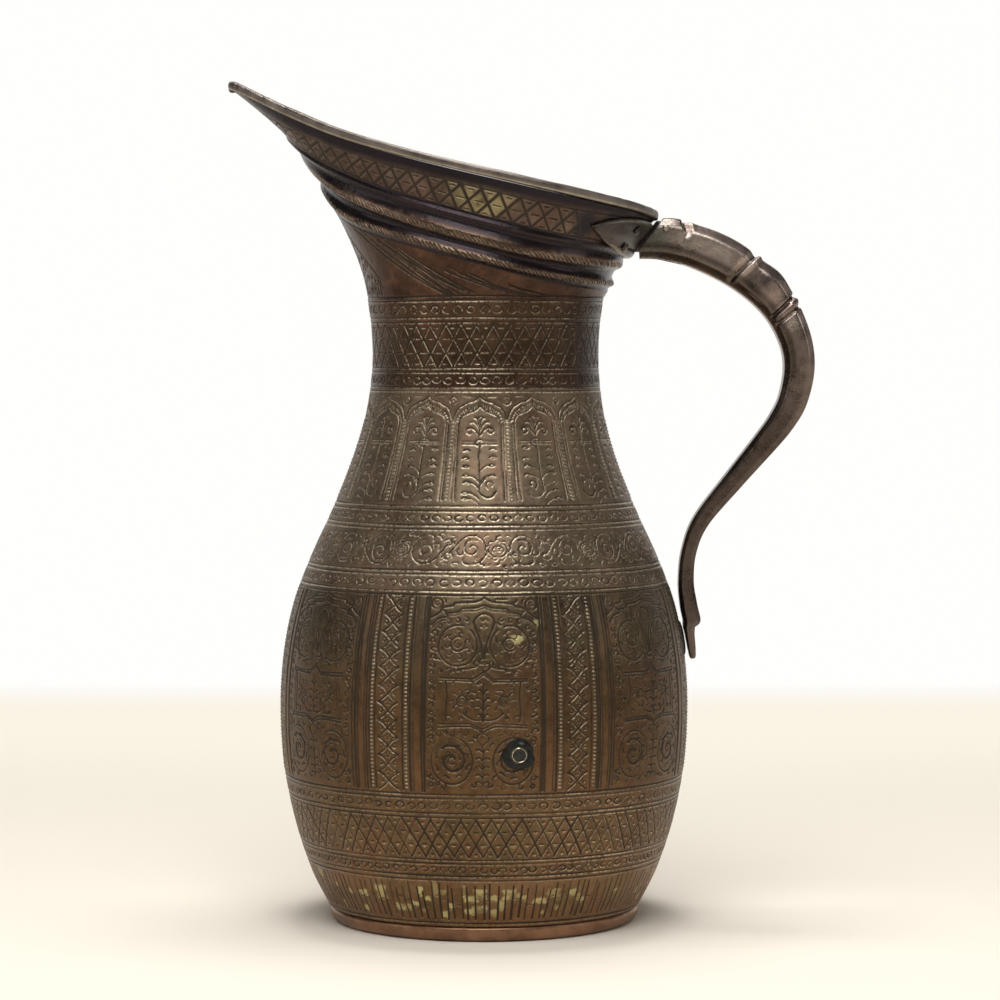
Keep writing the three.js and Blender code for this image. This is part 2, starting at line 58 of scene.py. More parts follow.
# Clear space between pieces that touch
GAP = 0.35
# The chased skin is the outer half of the wall, and the tin lining starts just inside it
SKIN = 0.6
LINING_OUT = 0.65
# Heights and radii of the body
BODY_OUTLINE = [
    (5.8, 56.4), (18, 62.6), (36, 68.6), (56, 72.6), (78, 73.9), (98, 72.6), (116, 68.9),
    (132, 62.9), (150, 54.7), (168, 47.6), (184, 43.1), (200, 41.1), (214, 41.3), (224.5, 42.6),
]
# Feet of the bands, from the foot ring upwards, and the top of the last
FLUTES_FOOT = 5.8
LATTICE_FOOT = 23.9
PANELS_FOOT = 53.3
SHOULDER_FOOT = 123.0
ARCADE_FOOT = 151.6
NECK_FOOT = 193.0
NECK_TOP = 224.5
# How far the neck stands towards the handle
LEAN = 0.55
# Plans: back, front, half width, centre, point, tip
SEAM_PLAN = np.array([44.8, 56.5, 46.3, 0, 0.62, 0])
RIM_PLAN = np.array([61.3, 90.6, 51.5, 8, 1.25, 20])
ROUND_PLAN = np.array([43.15, 42.05, 42.6, 0.55, 0.5, 0])
# Places along the beak's axis and heights of the rim
RIM_LINE = [
    (-93, 305.0), (-83, 300.0), (-70, 293.4), (-50, 284.6), (-22, 275.9), (13, 267.4), (40, 261.6),
    (54, 258.9), (63, 256.3),
]
# Ridges of the collar: crest at back, side and front, reach below and above, height
RIDGES = [
    ((0.12, 0.08, 0.09), 0.09, 0.11, 1.7),
    ((0.39, 0.29, 0.34), 0.12, 0.16, 1.7),
    ((0.58, 0.5, 0.545), 0.08, 0.045, 0.9),
]
LIP_HEIGHT = 3.2
LIP_OUT = 1.9
LIP_IN = 1.5
# Stations of the bar: place from the axis, height, half depth and half width
HANDLE_STATIONS = [
    (53.6, 246.6, 6.9, 6.6), (61.4, 246.8, 7.1, 6.8), (67.9, 246.5, 7.8, 7.4),
    (74.9, 244.6, 7.6, 7.5), (82.2, 241.9, 7.8, 7.5), (89.4, 238.2, 7.7, 7.4),
    (96.7, 233.0, 7.2, 7.3), (103.6, 226.8, 6.9, 7.2), (109.2, 218.7, 6.2, 7.0),
    (113.2, 208.5, 5.7, 6.9), (114.0, 199.0, 5.5, 6.8), (111.8, 188.6, 5.2, 6.6),
    (107.8, 181.0, 4.8, 6.5), (102.5, 174.0, 4.4, 6.3), (90.4, 159.5, 3.6, 6.0),
    (78.8, 145.0, 3.0, 5.6), (74.4, 134.0, 2.7, 5.3), (73.3, 123.2, 2.8, 5.2),
    (74.2, 114.8, 3.1, 5.1), (75.4, 109.2, 3.2, 5.0),
]
# The heel rounds in from the bar to the tongue
TONGUE_STATIONS = [
    (75.45, 108.4, 3.2, 5.0), (75.35, 107.6, 3.1, 4.95), (75.15, 107.0, 2.85, 4.85),
    (74.85, 106.5, 2.5, 4.75), (74.5, 106.1, 2.1, 4.65), (74.75, 103.5, 1.7, 4.2),
    (75.45, 98.5, 1.45, 3.4), (75.8, 95.7, 1.2, 2.6), (75.9, 94.9, 0.9, 1.9),
    (75.95, 94.6, 0.5, 1.2),
]
HANDLE_CHAMFER = 0.42
# The bar's front end: heights and places from the axis
FRONT_END = [(232.0, 56.3), (243.2, 56.3), (253.8, 64.6), (262.0, 64.6)]
# The saddle's reach to each side in degrees, and its middle and half height as shares of the collar
SADDLE_REACH = 49.5
SADDLE_MIDDLE = 0.745
SADDLE_HALF = 0.225
SADDLE_THICKNESS = 1.8
LUG_HALF_WIDTH = 3.2
PIN_X = 65.5
PIN_Z = 250.6
PIN_RADIUS = 1.3
LUG_OUTLINE = [(53.6, 242.2), (70, 242.2), (71, 243.2), (71, 252.4), (70, 253.4), (62.4, 253.4)]
RIVET_BEARINGS = (66.0, 114.0)
RIVET_LEVELS = (0.62, 0.85)
REPAIR_BEARING = 9.6
REPAIR_HEIGHT = 67.9
# The camera stands in front of the ewer and looks down a little: metres, degrees and lens
CAMERA_PLACE = (0.0058, -1.234, 0.2049)
CAMERA_TILT = 2.44
CAMERA_LENS = 122.4


# Surfaces of the vessel. A bearing is in degrees round the axis, 0 at the front of the
# picture and 90 at the handle; the beak is at -90.


def smooth_through(pairs):
    """A smooth curve through pairs of place and value."""
    at, value = np.array(pairs, float).T
    index = np.arange(len(at))
    before = np.maximum(index - 1, 0)
    after = np.minimum(index + 1, len(at) - 1)
    slope = (value[after] - value[before]) / (at[after] - at[before])

    def curve(position):
        position = np.asarray(position, float)
        i = np.clip(np.searchsorted(at, position) - 1, 0, len(at) - 2)
        width = at[i + 1] - at[i]
        u = (position - at[i]) / width
        ends = value[i] * (2 * u**3 - 3 * u**2 + 1) + value[i + 1] * (3 * u**2 - 2 * u**3)
        turns = slope[i] * (u**3 - 2 * u**2 + u) + slope[i + 1] * (u**3 - u**2)
        return ends + width * turns

    return curve


body_radius = smooth_through(BODY_OUTLINE)
rim_height = smooth_through(RIM_LINE)


def ease(x, low, high):
    """0 up to the first value, 1 from the second, smooth between them."""
    u = np.clip((np.asarray(x, float) - low) / (high - low), 0, 1)
    return u * u * (3 - 2 * u)


def apart(bearing, other):
    """Degrees from one bearing to another, the short way round."""
    return (bearing - other + 180) % 360 - 180


def angle_of(bearing):
    return np.radians(np.asarray(bearing, float) - 90)


def blended(bearing, back, side, front):
    """A value that changes round the vessel from the handle's side to the beak's."""
    c = np.cos(angle_of(bearing))
    return side + (np.where(c > 0, back, front) - side) * c * c


def mixed_plan(a, b, share):
    return [p + (q - p) * share for p, q in zip(a, b)]


def plan_point(bearing, plan):
    """A place on an outline seen from above."""
    back, front, half, centre, point, tip = plan
    angle = angle_of(bearing)
    c, s = np.cos(angle), np.sin(angle)
    q = s * s
    x = centre + np.where(c >= 0, back - centre, front + centre) * c
    beak = half * np.power(q, point) + tip * np.sqrt(q) * c**8
    y = np.where(c >= 0, half * s, np.sign(s) * beak)
    return x, y


def seam_height(bearing):
    """Height of the seam between throat and collar, which rises towards the beak."""
    u = (1 - np.cos(angle_of(bearing))) / 2
    return 227.9 + 25.2 * u**1.6 + 8.9 * u**24


def body_point(bearing, z):
    """A place on belly, shoulder or neck."""
    angle = angle_of(bearing)
    r = body_radius(z)
    x = r * np.cos(angle) + LEAN * ease(z, 162, 205)
    return np.stack([x, r * np.sin(angle), z + 0 * angle], -1)


def throat_point(bearing, share):
    """A place between the round neck and the collar's seam."""
    share = np.maximum(share, 0)
    x, y = plan_point(bearing, mixed_plan(ROUND_PLAN, SEAM_PLAN, share**1.5))
    z = NECK_TOP + (seam_height(bearing) - NECK_TOP) * share
    return np.stack([x, y, z], -1)


def plain_collar_point(bearing, share):
    opening = np.maximum(share, 0) ** blended(bearing, 1.6, 1.45, 1.5)
    x, y = plan_point(bearing, mixed_plan(SEAM_PLAN, RIM_PLAN, opening))
    top = rim_height(plan_point(bearing, RIM_PLAN)[0]) - LIP_HEIGHT - GAP
    low = seam_height(bearing)
    return np.stack([x, y, low + (top - low) * share], -1)


def normal_of(surface, bearing, at):
    """Outward direction of a surface."""
    round_it = surface(bearing + 0.1, at) - surface(bearing - 0.1, at)
    up = surface(bearing, at + 1e-3) - surface(bearing, at - 1e-3)
    normal = np.cross(round_it, up)
    return normal / np.linalg.norm(normal, axis=-1, keepdims=True)


def ridge_height(bearing, share):
    """How far the collar's ridges stand out of it."""
    total = 0 * share
    for crest, below, above, height in RIDGES:
        middle = blended(bearing, *crest)
        away = np.abs(share - middle) / np.where(share < middle, below, above)
        total = total + height * np.where(away < 1, np.cos(away * math.pi / 2) ** 2, 0)
    return total


def even_places(surface, level_at, count):
    """Shares a line round the vessel into equal lengths, counted from the front."""
    bearing = np.linspace(0, 360, 721)
    steps = np.linalg.norm(np.diff(surface(bearing, level_at(bearing)), axis=0), axis=-1)
    gone = np.concatenate([[0], np.cumsum(steps)])

    def place(k):
        turns, share = np.divmod(np.asarray(k, float) / count, 1)
        return np.interp(share, gone / gone[-1], bearing) + 360 * turns

    return place


def collar_point(bearing, share):
    """A place on the collar with its ridges."""
    proud = ridge_height(bearing, share)[..., None]
    return plain_collar_point(bearing, share) + proud * normal_of(plain_collar_point, bearing, share)


def raised(surface, bearing, level, *heights):
    """Points at heights over the same places of a surface."""
    places, normal = surface(bearing, level), normal_of(surface, bearing, level)
    return [places + normal * np.asarray(height)[..., None] for height in heights]


def rim_frame(bearing):
    """Points under the lip and the level direction away from the mouth."""
    x, y = plan_point(bearing, RIM_PLAN)
    a, b = plan_point(bearing + 0.05, RIM_PLAN), plan_point(bearing - 0.05, RIM_PLAN)
    away = np.stack([a[1] - b[1], b[0] - a[0], 0 * x], -1)
    away /= np.linalg.norm(away, axis=-1, keepdims=True)
    return np.stack([x, y, rim_height(x) - LIP_HEIGHT], -1), away


# Meshes


def mesh_object(name, points, faces, fields=None, sharp=60):
    """An object at the origin from points in millimetres and faces of equal size."""
    mesh = bpy.data.meshes.new(name)
    faces = np.asarray(faces, np.int32)
    corners = faces.shape[1]
    mesh.vertices.add(len(points))
    mesh.vertices.foreach_set("co", (np.asarray(points) * MM).astype(np.float32).ravel())
    mesh.loops.add(faces.size)
    mesh.loops.foreach_set("vertex_index", faces.ravel())
    mesh.polygons.add(len(faces))
    mesh.polygons.foreach_set("loop_start", np.arange(0, faces.size, corners, dtype=np.int32))
    mesh.polygons.foreach_set("use_smooth", np.ones(len(faces), bool))
    mesh.update(calc_edges=True)
    mesh.set_sharp_from_angle(angle=math.radians(sharp))
    for label, values in (fields or {}).items():
        values = np.asarray(values, np.float32)
        kind = "FLOAT_VECTOR" if values.ndim > 1 else "FLOAT"
        attribute = mesh.attributes.new(label, kind, "POINT")
        attribute.data.foreach_set("vector" if values.ndim > 1 else "value", values.ravel())
    thing = bpy.data.objects.new(name, mesh)
    bpy.context.scene.collection.objects.link(thing)
    return thing


def ring_faces(rows, columns, closed_rows=True):
    """Faces between rows of points that each go all the way round."""
    i, j = np.meshgrid(np.arange(rows if closed_rows else rows - 1), np.arange(columns), indexing="ij")
    up, on = (i + 1) % rows, (j + 1) % columns
    corners = [i * columns + j, i * columns + on, up * columns + on, up * columns + j]
    return np.stack(corners, -1).reshape(-1, 4)


def closed_ring(outer, inner):
    """Points and faces of a ring-shaped skin; both walls are listed upwards."""
    loop = np.concatenate([outer, inner[::-1]])
    return loop.reshape(-1, 3), ring_faces(*loop.shape[:2])


def closed_sheet(outer, inner):
    """Points and faces of a curved plate between two matching grids."""
    rows, columns = outer.shape[:2]
    points = np.concatenate([outer.reshape(-1, 3), inner.reshape(-1, 3)])
    i, j = np.meshgrid(np.arange(rows - 1), np.arange(columns - 1), indexing="ij")
    a = i * columns + j
    front = np.stack([a, a + 1, a + columns + 1, a + columns], -1).reshape(-1, 4)
    back = front[:, ::-1] + rows * columns
    bottom = np.arange(columns)
    right = np.arange(rows) * columns + columns - 1
    top = (rows - 1) * columns + np.arange(columns)[::-1]
    left = (np.arange(rows) * columns)[::-1]
    edge = np.concatenate([bottom[:-1], right[:-1], top[:-1], left[:-1]])
    on = np.roll(edge, -1)
    rim = np.stack([on, edge, edge + rows * columns, on + rows * columns], -1)
    return points, np.concatenate([front, back, rim])


def bake_map(thing, outer_rows, rows, columns, strips):
    """Lays the ring's outer wall out as stacked strips, with the hidden faces below them."""
    i, j = np.meshgrid(np.arange(rows), np.arange(columns), indexing="ij")
    i, j = i.ravel()[:, None], j.ravel()[:, None]
    right, up = np.array([[0, 1, 1, 0]]), np.array([[0, 0, 1, 1]])
    strip = j * strips // columns
    first = np.ceil(strip * columns / strips)
    wide = np.ceil((strip + 1) * columns / strips) - first
    seen = i < outer_rows - 1
    u = np.where(seen, (j - first + right) / wide, (j + right) / columns)
    tall = (strip + 0.02 + 0.96 * (i + up) / (outer_rows - 1)) / strips
    hidden = (i - outer_rows + 1 + up) / (rows - outer_rows + 1)
    v = np.where(seen, 0.1 + 0.9 * tall, 0.09 * hidden)
    layer = thing.data.uv_layers.new(name="OFBake")
    pairs = np.stack([0.005 + 0.99 * u, v], -1)
    layer.data.foreach_set("uv", pairs.astype(np.float32).ravel())


def finish(thing, slot, *nodes, metal=None):
    """Gives a piece its metal, if it has none yet, hangs it under the root body and hides the imported nodes
    it stands for.
    """
    if metal:
        thing.data.materials.append(metal)
    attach(thing, "root")
    if nodes:
        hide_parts(*nodes)


def shifted(thing, change):
    """Moves the points of a piece by a function of their places, in metres."""
    points = np.zeros(len(thing.data.vertices) * 3, np.float32)
    thing.data.vertices.foreach_get("co", points)
    points = change(points.reshape(-1, 3))
    thing.data.vertices.foreach_set("co", points.astype(np.float32).ravel())
    thing.data.update()


def merged(thing):
    """Welds points that share a place, such as those at the middle of a turned piece."""
    work = bmesh.new()
    work.from_mesh(thing.data)
    bmesh.ops.remove_doubles(work, verts=work.verts, dist=1e-6)
    bmesh.ops.recalc_face_normals(work, faces=work.faces)
    work.to_mesh(thing.data)
    work.free()
    thing.data.update()
    return thing


def turned(name, profile, columns, fields=None):
    """A piece turned on a lathe, from a closed list of radius and height."""
    angle = np.arange(columns) * 2 * math.pi / columns
    r, z = np.array(profile, float).T[:, :, None]
    points = np.stack([r * np.cos(angle), r * np.sin(angle), z + 0 * angle], -1)
    values = {k: np.repeat(v, columns) for k, v in (fields or {}).items()}
    made = mesh_object(name, points.reshape(-1, 3), ring_faces(len(profile), columns), values, 40)
    return merged(made)


def baked(thing, group, **inputs):
    """Runs a node tree on a piece and keeps the result as its plain mesh."""
    modifier = thing.modifiers.new(group.name, "NODES")
    modifier.node_group = group
    for item in group.interface.items_tree:
        if item.item_type == "SOCKET" and item.in_out == "INPUT" and item.name in inputs:
            modifier[item.identifier] = inputs.pop(item.name)
    if inputs:
        raise KeyError(f"{group.name} has no input named {sorted(inputs)}")
    view = bpy.context.evaluated_depsgraph_get()
    made = bpy.data.meshes.new_from_object(thing.evaluated_get(view), depsgraph=view)
    thing.modifiers.remove(modifier)
    old, thing.data = thing.data, made
    bpy.data.meshes.remove(old)
    made.name = thing.name


# Chasing

# The dirt of a cut reaches this many half widths from its middle
DIRT_REACH = 2.4
# The painted highlight on a cut's lower lip lies this many millimetres below the cut
GLINT_BELOW = 0.46


def dome(away):
    """1 in the middle, falling smoothly to 0 at a distance of 1."""
    return np.clip(1 - away * away, 0, 1) ** 2


class Wall:
    """A ring of the raised sheet as a grid of points, with what is chased into it."""

    def __init__(self, surface, low, high, rows, columns, seed):
        self.rows, self.columns = rows, columns
        self.step = 360 / columns
        self.rise = (high - low) / rows
        self.bearings = np.arange(columns) * self.step
        self.levels = np.linspace(low, high, rows + 1)
        bearing = self.bearings[None, :] + np.zeros((rows + 1, 1))
        level = self.levels[:, None] + np.zeros((1, columns))
        self.points = surface(bearing, level)
        self.outward = normal_of(surface, bearing, level)
        small = 1e-3
        across = (surface(bearing + small, level) - surface(bearing - small, level)) / (2 * small)
        along = (surface(bearing, level + small) - surface(bearing, level - small)) / (2 * small)
        # Millimetres for one degree, for one step of level, and sideways for that step
        self.wide = np.linalg.norm(across, axis=-1)
        self.skew = (along * across).sum(-1) / self.wide
        self.tall = np.sqrt((along**2).sum(-1) - self.skew**2)
        self.hand = np.random.default_rng(seed)
        self.cut, self.line, self.brass, self.bare, self.stain = (np.zeros_like(level) for _ in range(5))
        # How strong the painted highlight on the cuts' lower lips is at each point
        self.rub = np.ones_like(level)

    def nearest(self, bearing, level):
        """Row and column of the grid point nearest a place."""
        row = np.clip(np.rint((level - self.levels[0]) / self.rise), 0, self.rows).astype(int)
        return row, np.rint(np.asarray(bearing) / self.step).astype(int) % self.columns

    def window(self, bearings, levels, pad):
        """The part of the grid near two points, in millimetres from the first, and the second."""
        at = self.nearest(sum(bearings) / 2, sum(levels) / 2)
        wide, tall, skew = self.wide[at], self.tall[at], self.skew[at]
        spare = pad * (1 + abs(skew) / tall) / wide
        first = math.floor((min(bearings) - spare) / self.step)
        last = math.ceil((max(bearings) + spare) / self.step)
        columns = np.arange(first, last + 1)
        low = math.floor((min(levels) - pad / tall - self.levels[0]) / self.rise)
        high = math.ceil((max(levels) + pad / tall - self.levels[0]) / self.rise)
        rows = slice(min(max(low, 0), self.rows + 1), max(min(high + 1, self.rows + 1), 0))
        up = self.levels[rows][:, None] - levels[0]
        x = (columns * self.step - bearings[0])[None, :] * wide + up * skew
        rise = levels[1] - levels[0]
        end = (bearings[1] - bearings[0]) * wide + rise * skew, rise * tall
        return rows, columns % self.columns, x, up * tall, end

    def press(self, rows, columns, away, deep):
        """Sinks a cut, from the distance to its middle in half widths."""
        self.cut[rows, columns] = np.maximum(self.cut[rows, columns], deep * dome(away))
        line = np.sqrt(deep) * np.clip(1 - away / DIRT_REACH, 0, 1)
        self.line[rows, columns] = np.maximum(self.line[rows, columns], line)

    def waver(self, amount):
        """A slow unsteadiness of the hand, once round the vessel."""
        total = np.zeros(self.columns)
        for waves in (3, 7, 13, 29, 53):
            phase = self.hand.uniform(0, 2 * math.pi)
            total += np.sin(np.radians(self.bearings) * waves + phase) / math.sqrt(waves)
        return total * amount

    def ring(self, level, half=0.42, deep=1.0, waver=0.07):
        """A line all the way round, at a level or at a level for each column."""
        line = level + self.waver(waver)
        weight = np.clip(deep * (0.92 + self.waver(0.16)), 0.4, 1.3)
        away = np.abs(self.levels[:, None] - line) * self.tall / half
        self.press(slice(None), slice(None), away, weight)

    def stroke(self, places, half=0.42, deep=1.0, end=None):
        """A line through places given as bearing and level."""
        halves = np.linspace(half, half if end is None else end, len(places))
        for (b0, t0), (b1, t1), h0, h1 in zip(places, places[1:], halves, halves[1:]):
            rows, columns, x, y, (dx, dy) = self.window((b0, b1), (t0, t1), DIRT_REACH * max(h0, h1))
            f = np.clip((x * dx + y * dy) / (dx * dx + dy * dy + 1e-9), 0, 1)
            away = np.hypot(x - f * dx, y - f * dy) / (h0 + (h1 - h0) * f)
            self.press(rows, columns, away, deep)

    def oval(self, bearing, level, rx, ry, half, deep, opening):
        """An oval line that is struck less deep towards its opening."""
        pad = max(rx, ry) + DIRT_REACH * half
        rows, columns, x, y, _ = self.window((bearing, bearing), (level, level), pad)
        away = np.abs(np.hypot(x / rx, y / ry) - 1) * min(rx, ry) / half
        turn = np.abs((np.arctan2(y, x) - opening + math.pi) % (2 * math.pi) - math.pi)
        self.press(rows, columns, away, deep * (0.5 + 0.5 * ease(turn, 0.3, 1.2)))

    def dot(self, bearing, level, rx=0.5, ry=None, deep=1.0):
        ry = ry or rx
        pad = DIRT_REACH * max(rx, ry)
        rows, columns, x, y, _ = self.window((bearing, bearing), (level, level), pad)
        self.press(rows, columns, np.hypot(x / rx, y / ry), deep)

    def patch(self, field, bearing, level, rx, ry, amount, edge=0.35, power=2):
        """Marks a rough oval, or with a higher power a block, as worn or stained."""
        pad = max(rx, ry) * 1.3
        rows, columns, x, y, _ = self.window((bearing, bearing), (level, level), pad)
        turn = np.arctan2(y / ry, x / rx)
        ragged = 1 + 0.12 * np.sin(3 * turn + level) + 0.08 * np.sin(7 * turn + bearing)
        far = (np.abs(x / rx) ** power + np.abs(y / ry) ** power) ** (1 / power)
        mark = amount * (1 - ease(far / ragged, 1 - edge, 1))
        field[rows, columns] = np.maximum(field[rows, columns], mark)

    def lip(self):
        """The lower lips of the cuts, as the lines moved down, where the painted highlight goes."""
        shift = GLINT_BELOW / (self.rise * self.tall.mean())
        whole = int(shift)
        near, far = (np.vstack([self.line[n:], np.zeros((n, self.columns))]) for n in (whole, whole + 1))
        return near + (far - near) * (shift - whole)

    def piece(self, name, node, metal, first=0, last=None, inner_rows=5, strips=4):
        """One closed skin from some of the wall's rows."""
        last = self.rows if last is None else last
        outer = self.points[first : last + 1]
        pick = np.linspace(first, last, inner_rows).round().astype(int)
        inner = self.points[pick] - SKIN * self.outward[pick]
        points, faces = closed_ring(outer, inner)
        hidden = inner.shape[0] * self.columns
        outward = self.outward[first : last + 1].reshape(-1, 3)
        fields = {"outward": np.concatenate([outward, np.zeros((hidden, 3))])}
        grids = {"chased": self.cut, "line": self.line, "lip": self.lip()}
        grids |= {"brass": self.brass, "bare": self.bare, "stain": self.stain, "rub": self.rub}
        for label, grid in grids.items():
            fields[label] = np.concatenate([grid[first : last + 1].ravel(), np.zeros(hidden)])
        thing = mesh_object(name, points, faces, fields)
        bake_map(thing, outer.shape[0], outer.shape[0] + inner.shape[0], self.columns, strips)
        sizes = bpy.context.scene.ewer_sizes
        inputs = {"Cut depth": sizes.cut_depth, "Hammer height": sizes.hammer_height}
        baked(thing, chased_tree(), Material=metal, **inputs)
        finish(thing, node, node)


def around(x, y, radius, turn, height=None):
    """The place at a turn in degrees round a point, on a circle or an oval."""
    a = math.radians(turn)
    return x + radius * math.cos(a), y + (height or radius) * math.sin(a)


def arc(x, y, radius, start, end, squash=1.0):
    """Part of a circle, between two turns in degrees."""
    steps = max(int(abs(end - start) * radius / 50), 4)
    turn = np.radians(np.linspace(start, end, steps + 1))
    return np.stack([x + radius * np.cos(turn), y + radius * squash * np.sin(turn)], -1)


def curl(x, y, radius, start, turns, inner=0.25):
    """A line that winds inwards round a point."""
    steps = max(int(abs(turns) * radius * 5), 6)
    share = np.linspace(0, 1, steps + 1)
    turn = math.radians(start) + share * turns * 2 * math.pi
    r = radius * (1 - (1 - inner) * share)
    return np.stack([x + r * np.cos(turn), y + r * np.sin(turn)], -1)


def bend(*points, steps=6):
    """A smooth line that starts and ends at the first and last point and leans to the others."""
    share = np.linspace(0, 1, steps + 1)[:, None]
    rows = [np.array(p, float) for p in points]
    while len(rows) > 1:
        rows = [a + (b - a) * share for a, b in zip(rows, rows[1:])]
    return rows[0]


class Pen:
    """Draws on a wall in millimetres from a place on it, with a hand's small errors."""

    def __init__(self, wall, bearing, level, turn=0.0, size=1.0, mirror=1):
        self.wall, self.hand = wall, wall.hand
        at = wall.nearest(bearing, level)
        self.wide, self.tall, self.skew = wall.wide[at], wall.tall[at], wall.skew[at]
        self.origin = level
        self.bearing = bearing + self.hand.normal(0, 0.1) / self.wide
        self.level = level + self.hand.normal(0, 0.1) / self.tall
        self.turn = math.radians(turn + self.hand.normal(0, 1.2))
        self.size, self.mirror = size, mirror

    def at(self, *pairs):
        """Places given by their level on the wall instead of their height above the pen."""
        return [(x, (z - self.origin) * self.tall) for x, z in pairs]

    def places(self, points):
        """Bearings and levels of places given in millimetres from the pen."""
        x, y = (np.asarray(points, float) * self.size).T
        x = x * self.mirror
        c, s = math.cos(self.turn), math.sin(self.turn)
        up = (s * x + c * y) / self.tall
        along = (c * x - s * y - up * self.skew) / self.wide
        return np.stack([self.bearing + along, self.level + up], -1)

    def line(self, points, half=0.4, deep=0.95, end=None):
        jitter = self.hand.normal(0, 0.06, (len(points), 2))
        weight = deep * self.hand.uniform(0.8, 1.15)
        self.wall.stroke(self.places(np.asarray(points, float) + jitter), half, weight, end)

    def both(self, points, **how):
        """The same line on the left and on the right."""
        points = np.asarray(points, float)
        self.line(points, **how)
        self.line(points * (-1, 1), **how)

    def ring(self, x, y, radius, half=0.38, deep=0.95, squash=1.0):
        (bearing, level), = self.places([(x, y)])
        size = radius * self.size * self.hand.uniform(0.93, 1.07)
        opening = self.hand.uniform(-math.pi, math.pi)
        self.wall.oval(bearing, level, size, size * squash, half, deep, opening)

    def dot(self, x, y, radius=0.5, deep=1.0):
        (bearing, level), = self.places([(x, y)])
        self.wall.dot(bearing, level, radius * self.size, deep=deep)

    def leaf(self, x, y, toward, length, half=0.5):
        """A hooked leaf that starts at a point and grows in a direction."""
        turn = math.radians(toward)
        ahead = np.array([math.cos(turn), math.sin(turn)])
        aside = np.array([-ahead[1], ahead[0]]) * (1 if ahead[0] < 0 else -1)
        start = np.array([x, y])
        tip = start + length * ahead + 0.28 * length * aside
        knee = start + 0.62 * length * ahead - 0.16 * length * aside
        self.line(bend(start, knee, tip, steps=4), half=half * 0.65, end=half)


def oval_row(wall, low, high, count, dotted=0.3):
    """A row of small flat ovals struck between two pairs of rings."""
    middle, tall = (low + high) / 2, (high - low) / 2
    pitch = 360 / count
    for k in range(count):
        bearing = (k + wall.hand.uniform(-0.11, 0.11)) * pitch
        level = middle + wall.hand.normal(0, 0.12)
        wide = wall.wide[wall.nearest(bearing, level)]
        rx = min(tall * 0.85, pitch * wide * 0.34) * wall.hand.uniform(0.88, 1.1)
        ry = tall * 0.6 * wall.hand.uniform(0.85, 1.12)
        opening = wall.hand.uniform(-math.pi, math.pi)
        wall.oval(bearing, level, rx, ry, 0.33, wall.hand.uniform(0.85, 1.25), opening)
        if wall.hand.random() < dotted:
            wall.dot(bearing, level, 0.34, 0.26, 0.8)


def sprinkle(wall, bearings, levels, tries, size=1.0):
    """Fills the bare places of a field with small curls, leaves and dots."""
    hand = wall.hand
    for _ in range(tries):
        bearing, level = hand.uniform(*bearings), hand.uniform(*levels)
        rows, columns, x, y, _ = wall.window((bearing, bearing), (level, level), 1.4 * size)
        near = np.hypot(x, y) < 1.4 * size
        if wall.line[rows, columns][near].max(initial=0) > 0.45:
            continue
        pen = Pen(wall, bearing, level, turn=hand.uniform(0, 360))
        kind = hand.random()
        if kind < 0.5:
            turns = 0.75 if hand.random() < 0.5 else -0.75
            pen.line(curl(0, 0, 1.1 * size, 0, turns, 0.35), half=0.34, deep=1.0, end=0.46)
        elif kind < 0.85:
            pen.leaf(-0.9 * size, 0, 0, 2.0 * size, 0.42)
        else:
            pen.dot(0, 0, 0.38)


def lattice(
    wall, low, high, count, crossings=3, half=0.46, dash=0.24, place=None, only=None, spark=0.0, light=0.85
):
    """Crossing diagonals with a dash and a dot in each lozenge.

    Low and high give the band's edges at a bearing, place the bearing of the k-th crossing, only
    the bearings that are drawn, spark the brassy wear under the dots, and light the least depth.
    """
    place = place or (lambda k: k * 360 / count)
    hand = wall.hand
    share = np.linspace(0, 1, 7)

    def spot(k, height):
        """Bearing and level, square to the band's middle line."""
        bearing = float(place(k))
        level = float(low(bearing) + (high(bearing) - low(bearing)) * height)
        middle = float(low(bearing) + high(bearing)) / 2
        at = wall.nearest(bearing, middle)
        return bearing - (level - middle) * wall.skew[at] / wall.wide[at], level

    for k in range(count):
        for lean in (1, -1):
            foot = k + hand.uniform(-0.06, 0.06)
            head = foot + lean * crossings / 2 + hand.uniform(-0.06, 0.06)
            places = [spot(foot + (head - foot) * s, s) for s in share]
            if only and not (only(places[0][0]) and only(places[-1][0])):
                continue
            wall.stroke(places, half * hand.uniform(0.85, 1.15), hand.uniform(light, 1.25))
    for row in range(crossings + 1):
        for k in range(count):
            at = k + 0.5 * ((row + 1) % 2) + hand.normal(0, 0.03)
            if only and not only(float(place(at))):
                continue
            inset = 0.24 if row == 0 else -0.24 if row == crossings else 0
            height = (row + inset) / crossings
            reach = dash * (0.6 if inset else 1)
            wall.stroke([spot(at - reach, height), spot(at + reach, height)], half * 0.74, 0.9)
            wall.dot(*spot(at, height), 0.5, 0.4, 1.1)
            if spark:
                bearing, level = spot(at, height)
                amount = spark * hand.uniform(0.2, 1)
                wall.patch(wall.brass, bearing, level - 0.75, 0.5, 0.4, amount, 0.5)


def steady(value):
    """The same value at every bearing."""
    return lambda bearing: value + 0 * np.asarray(bearing, float)


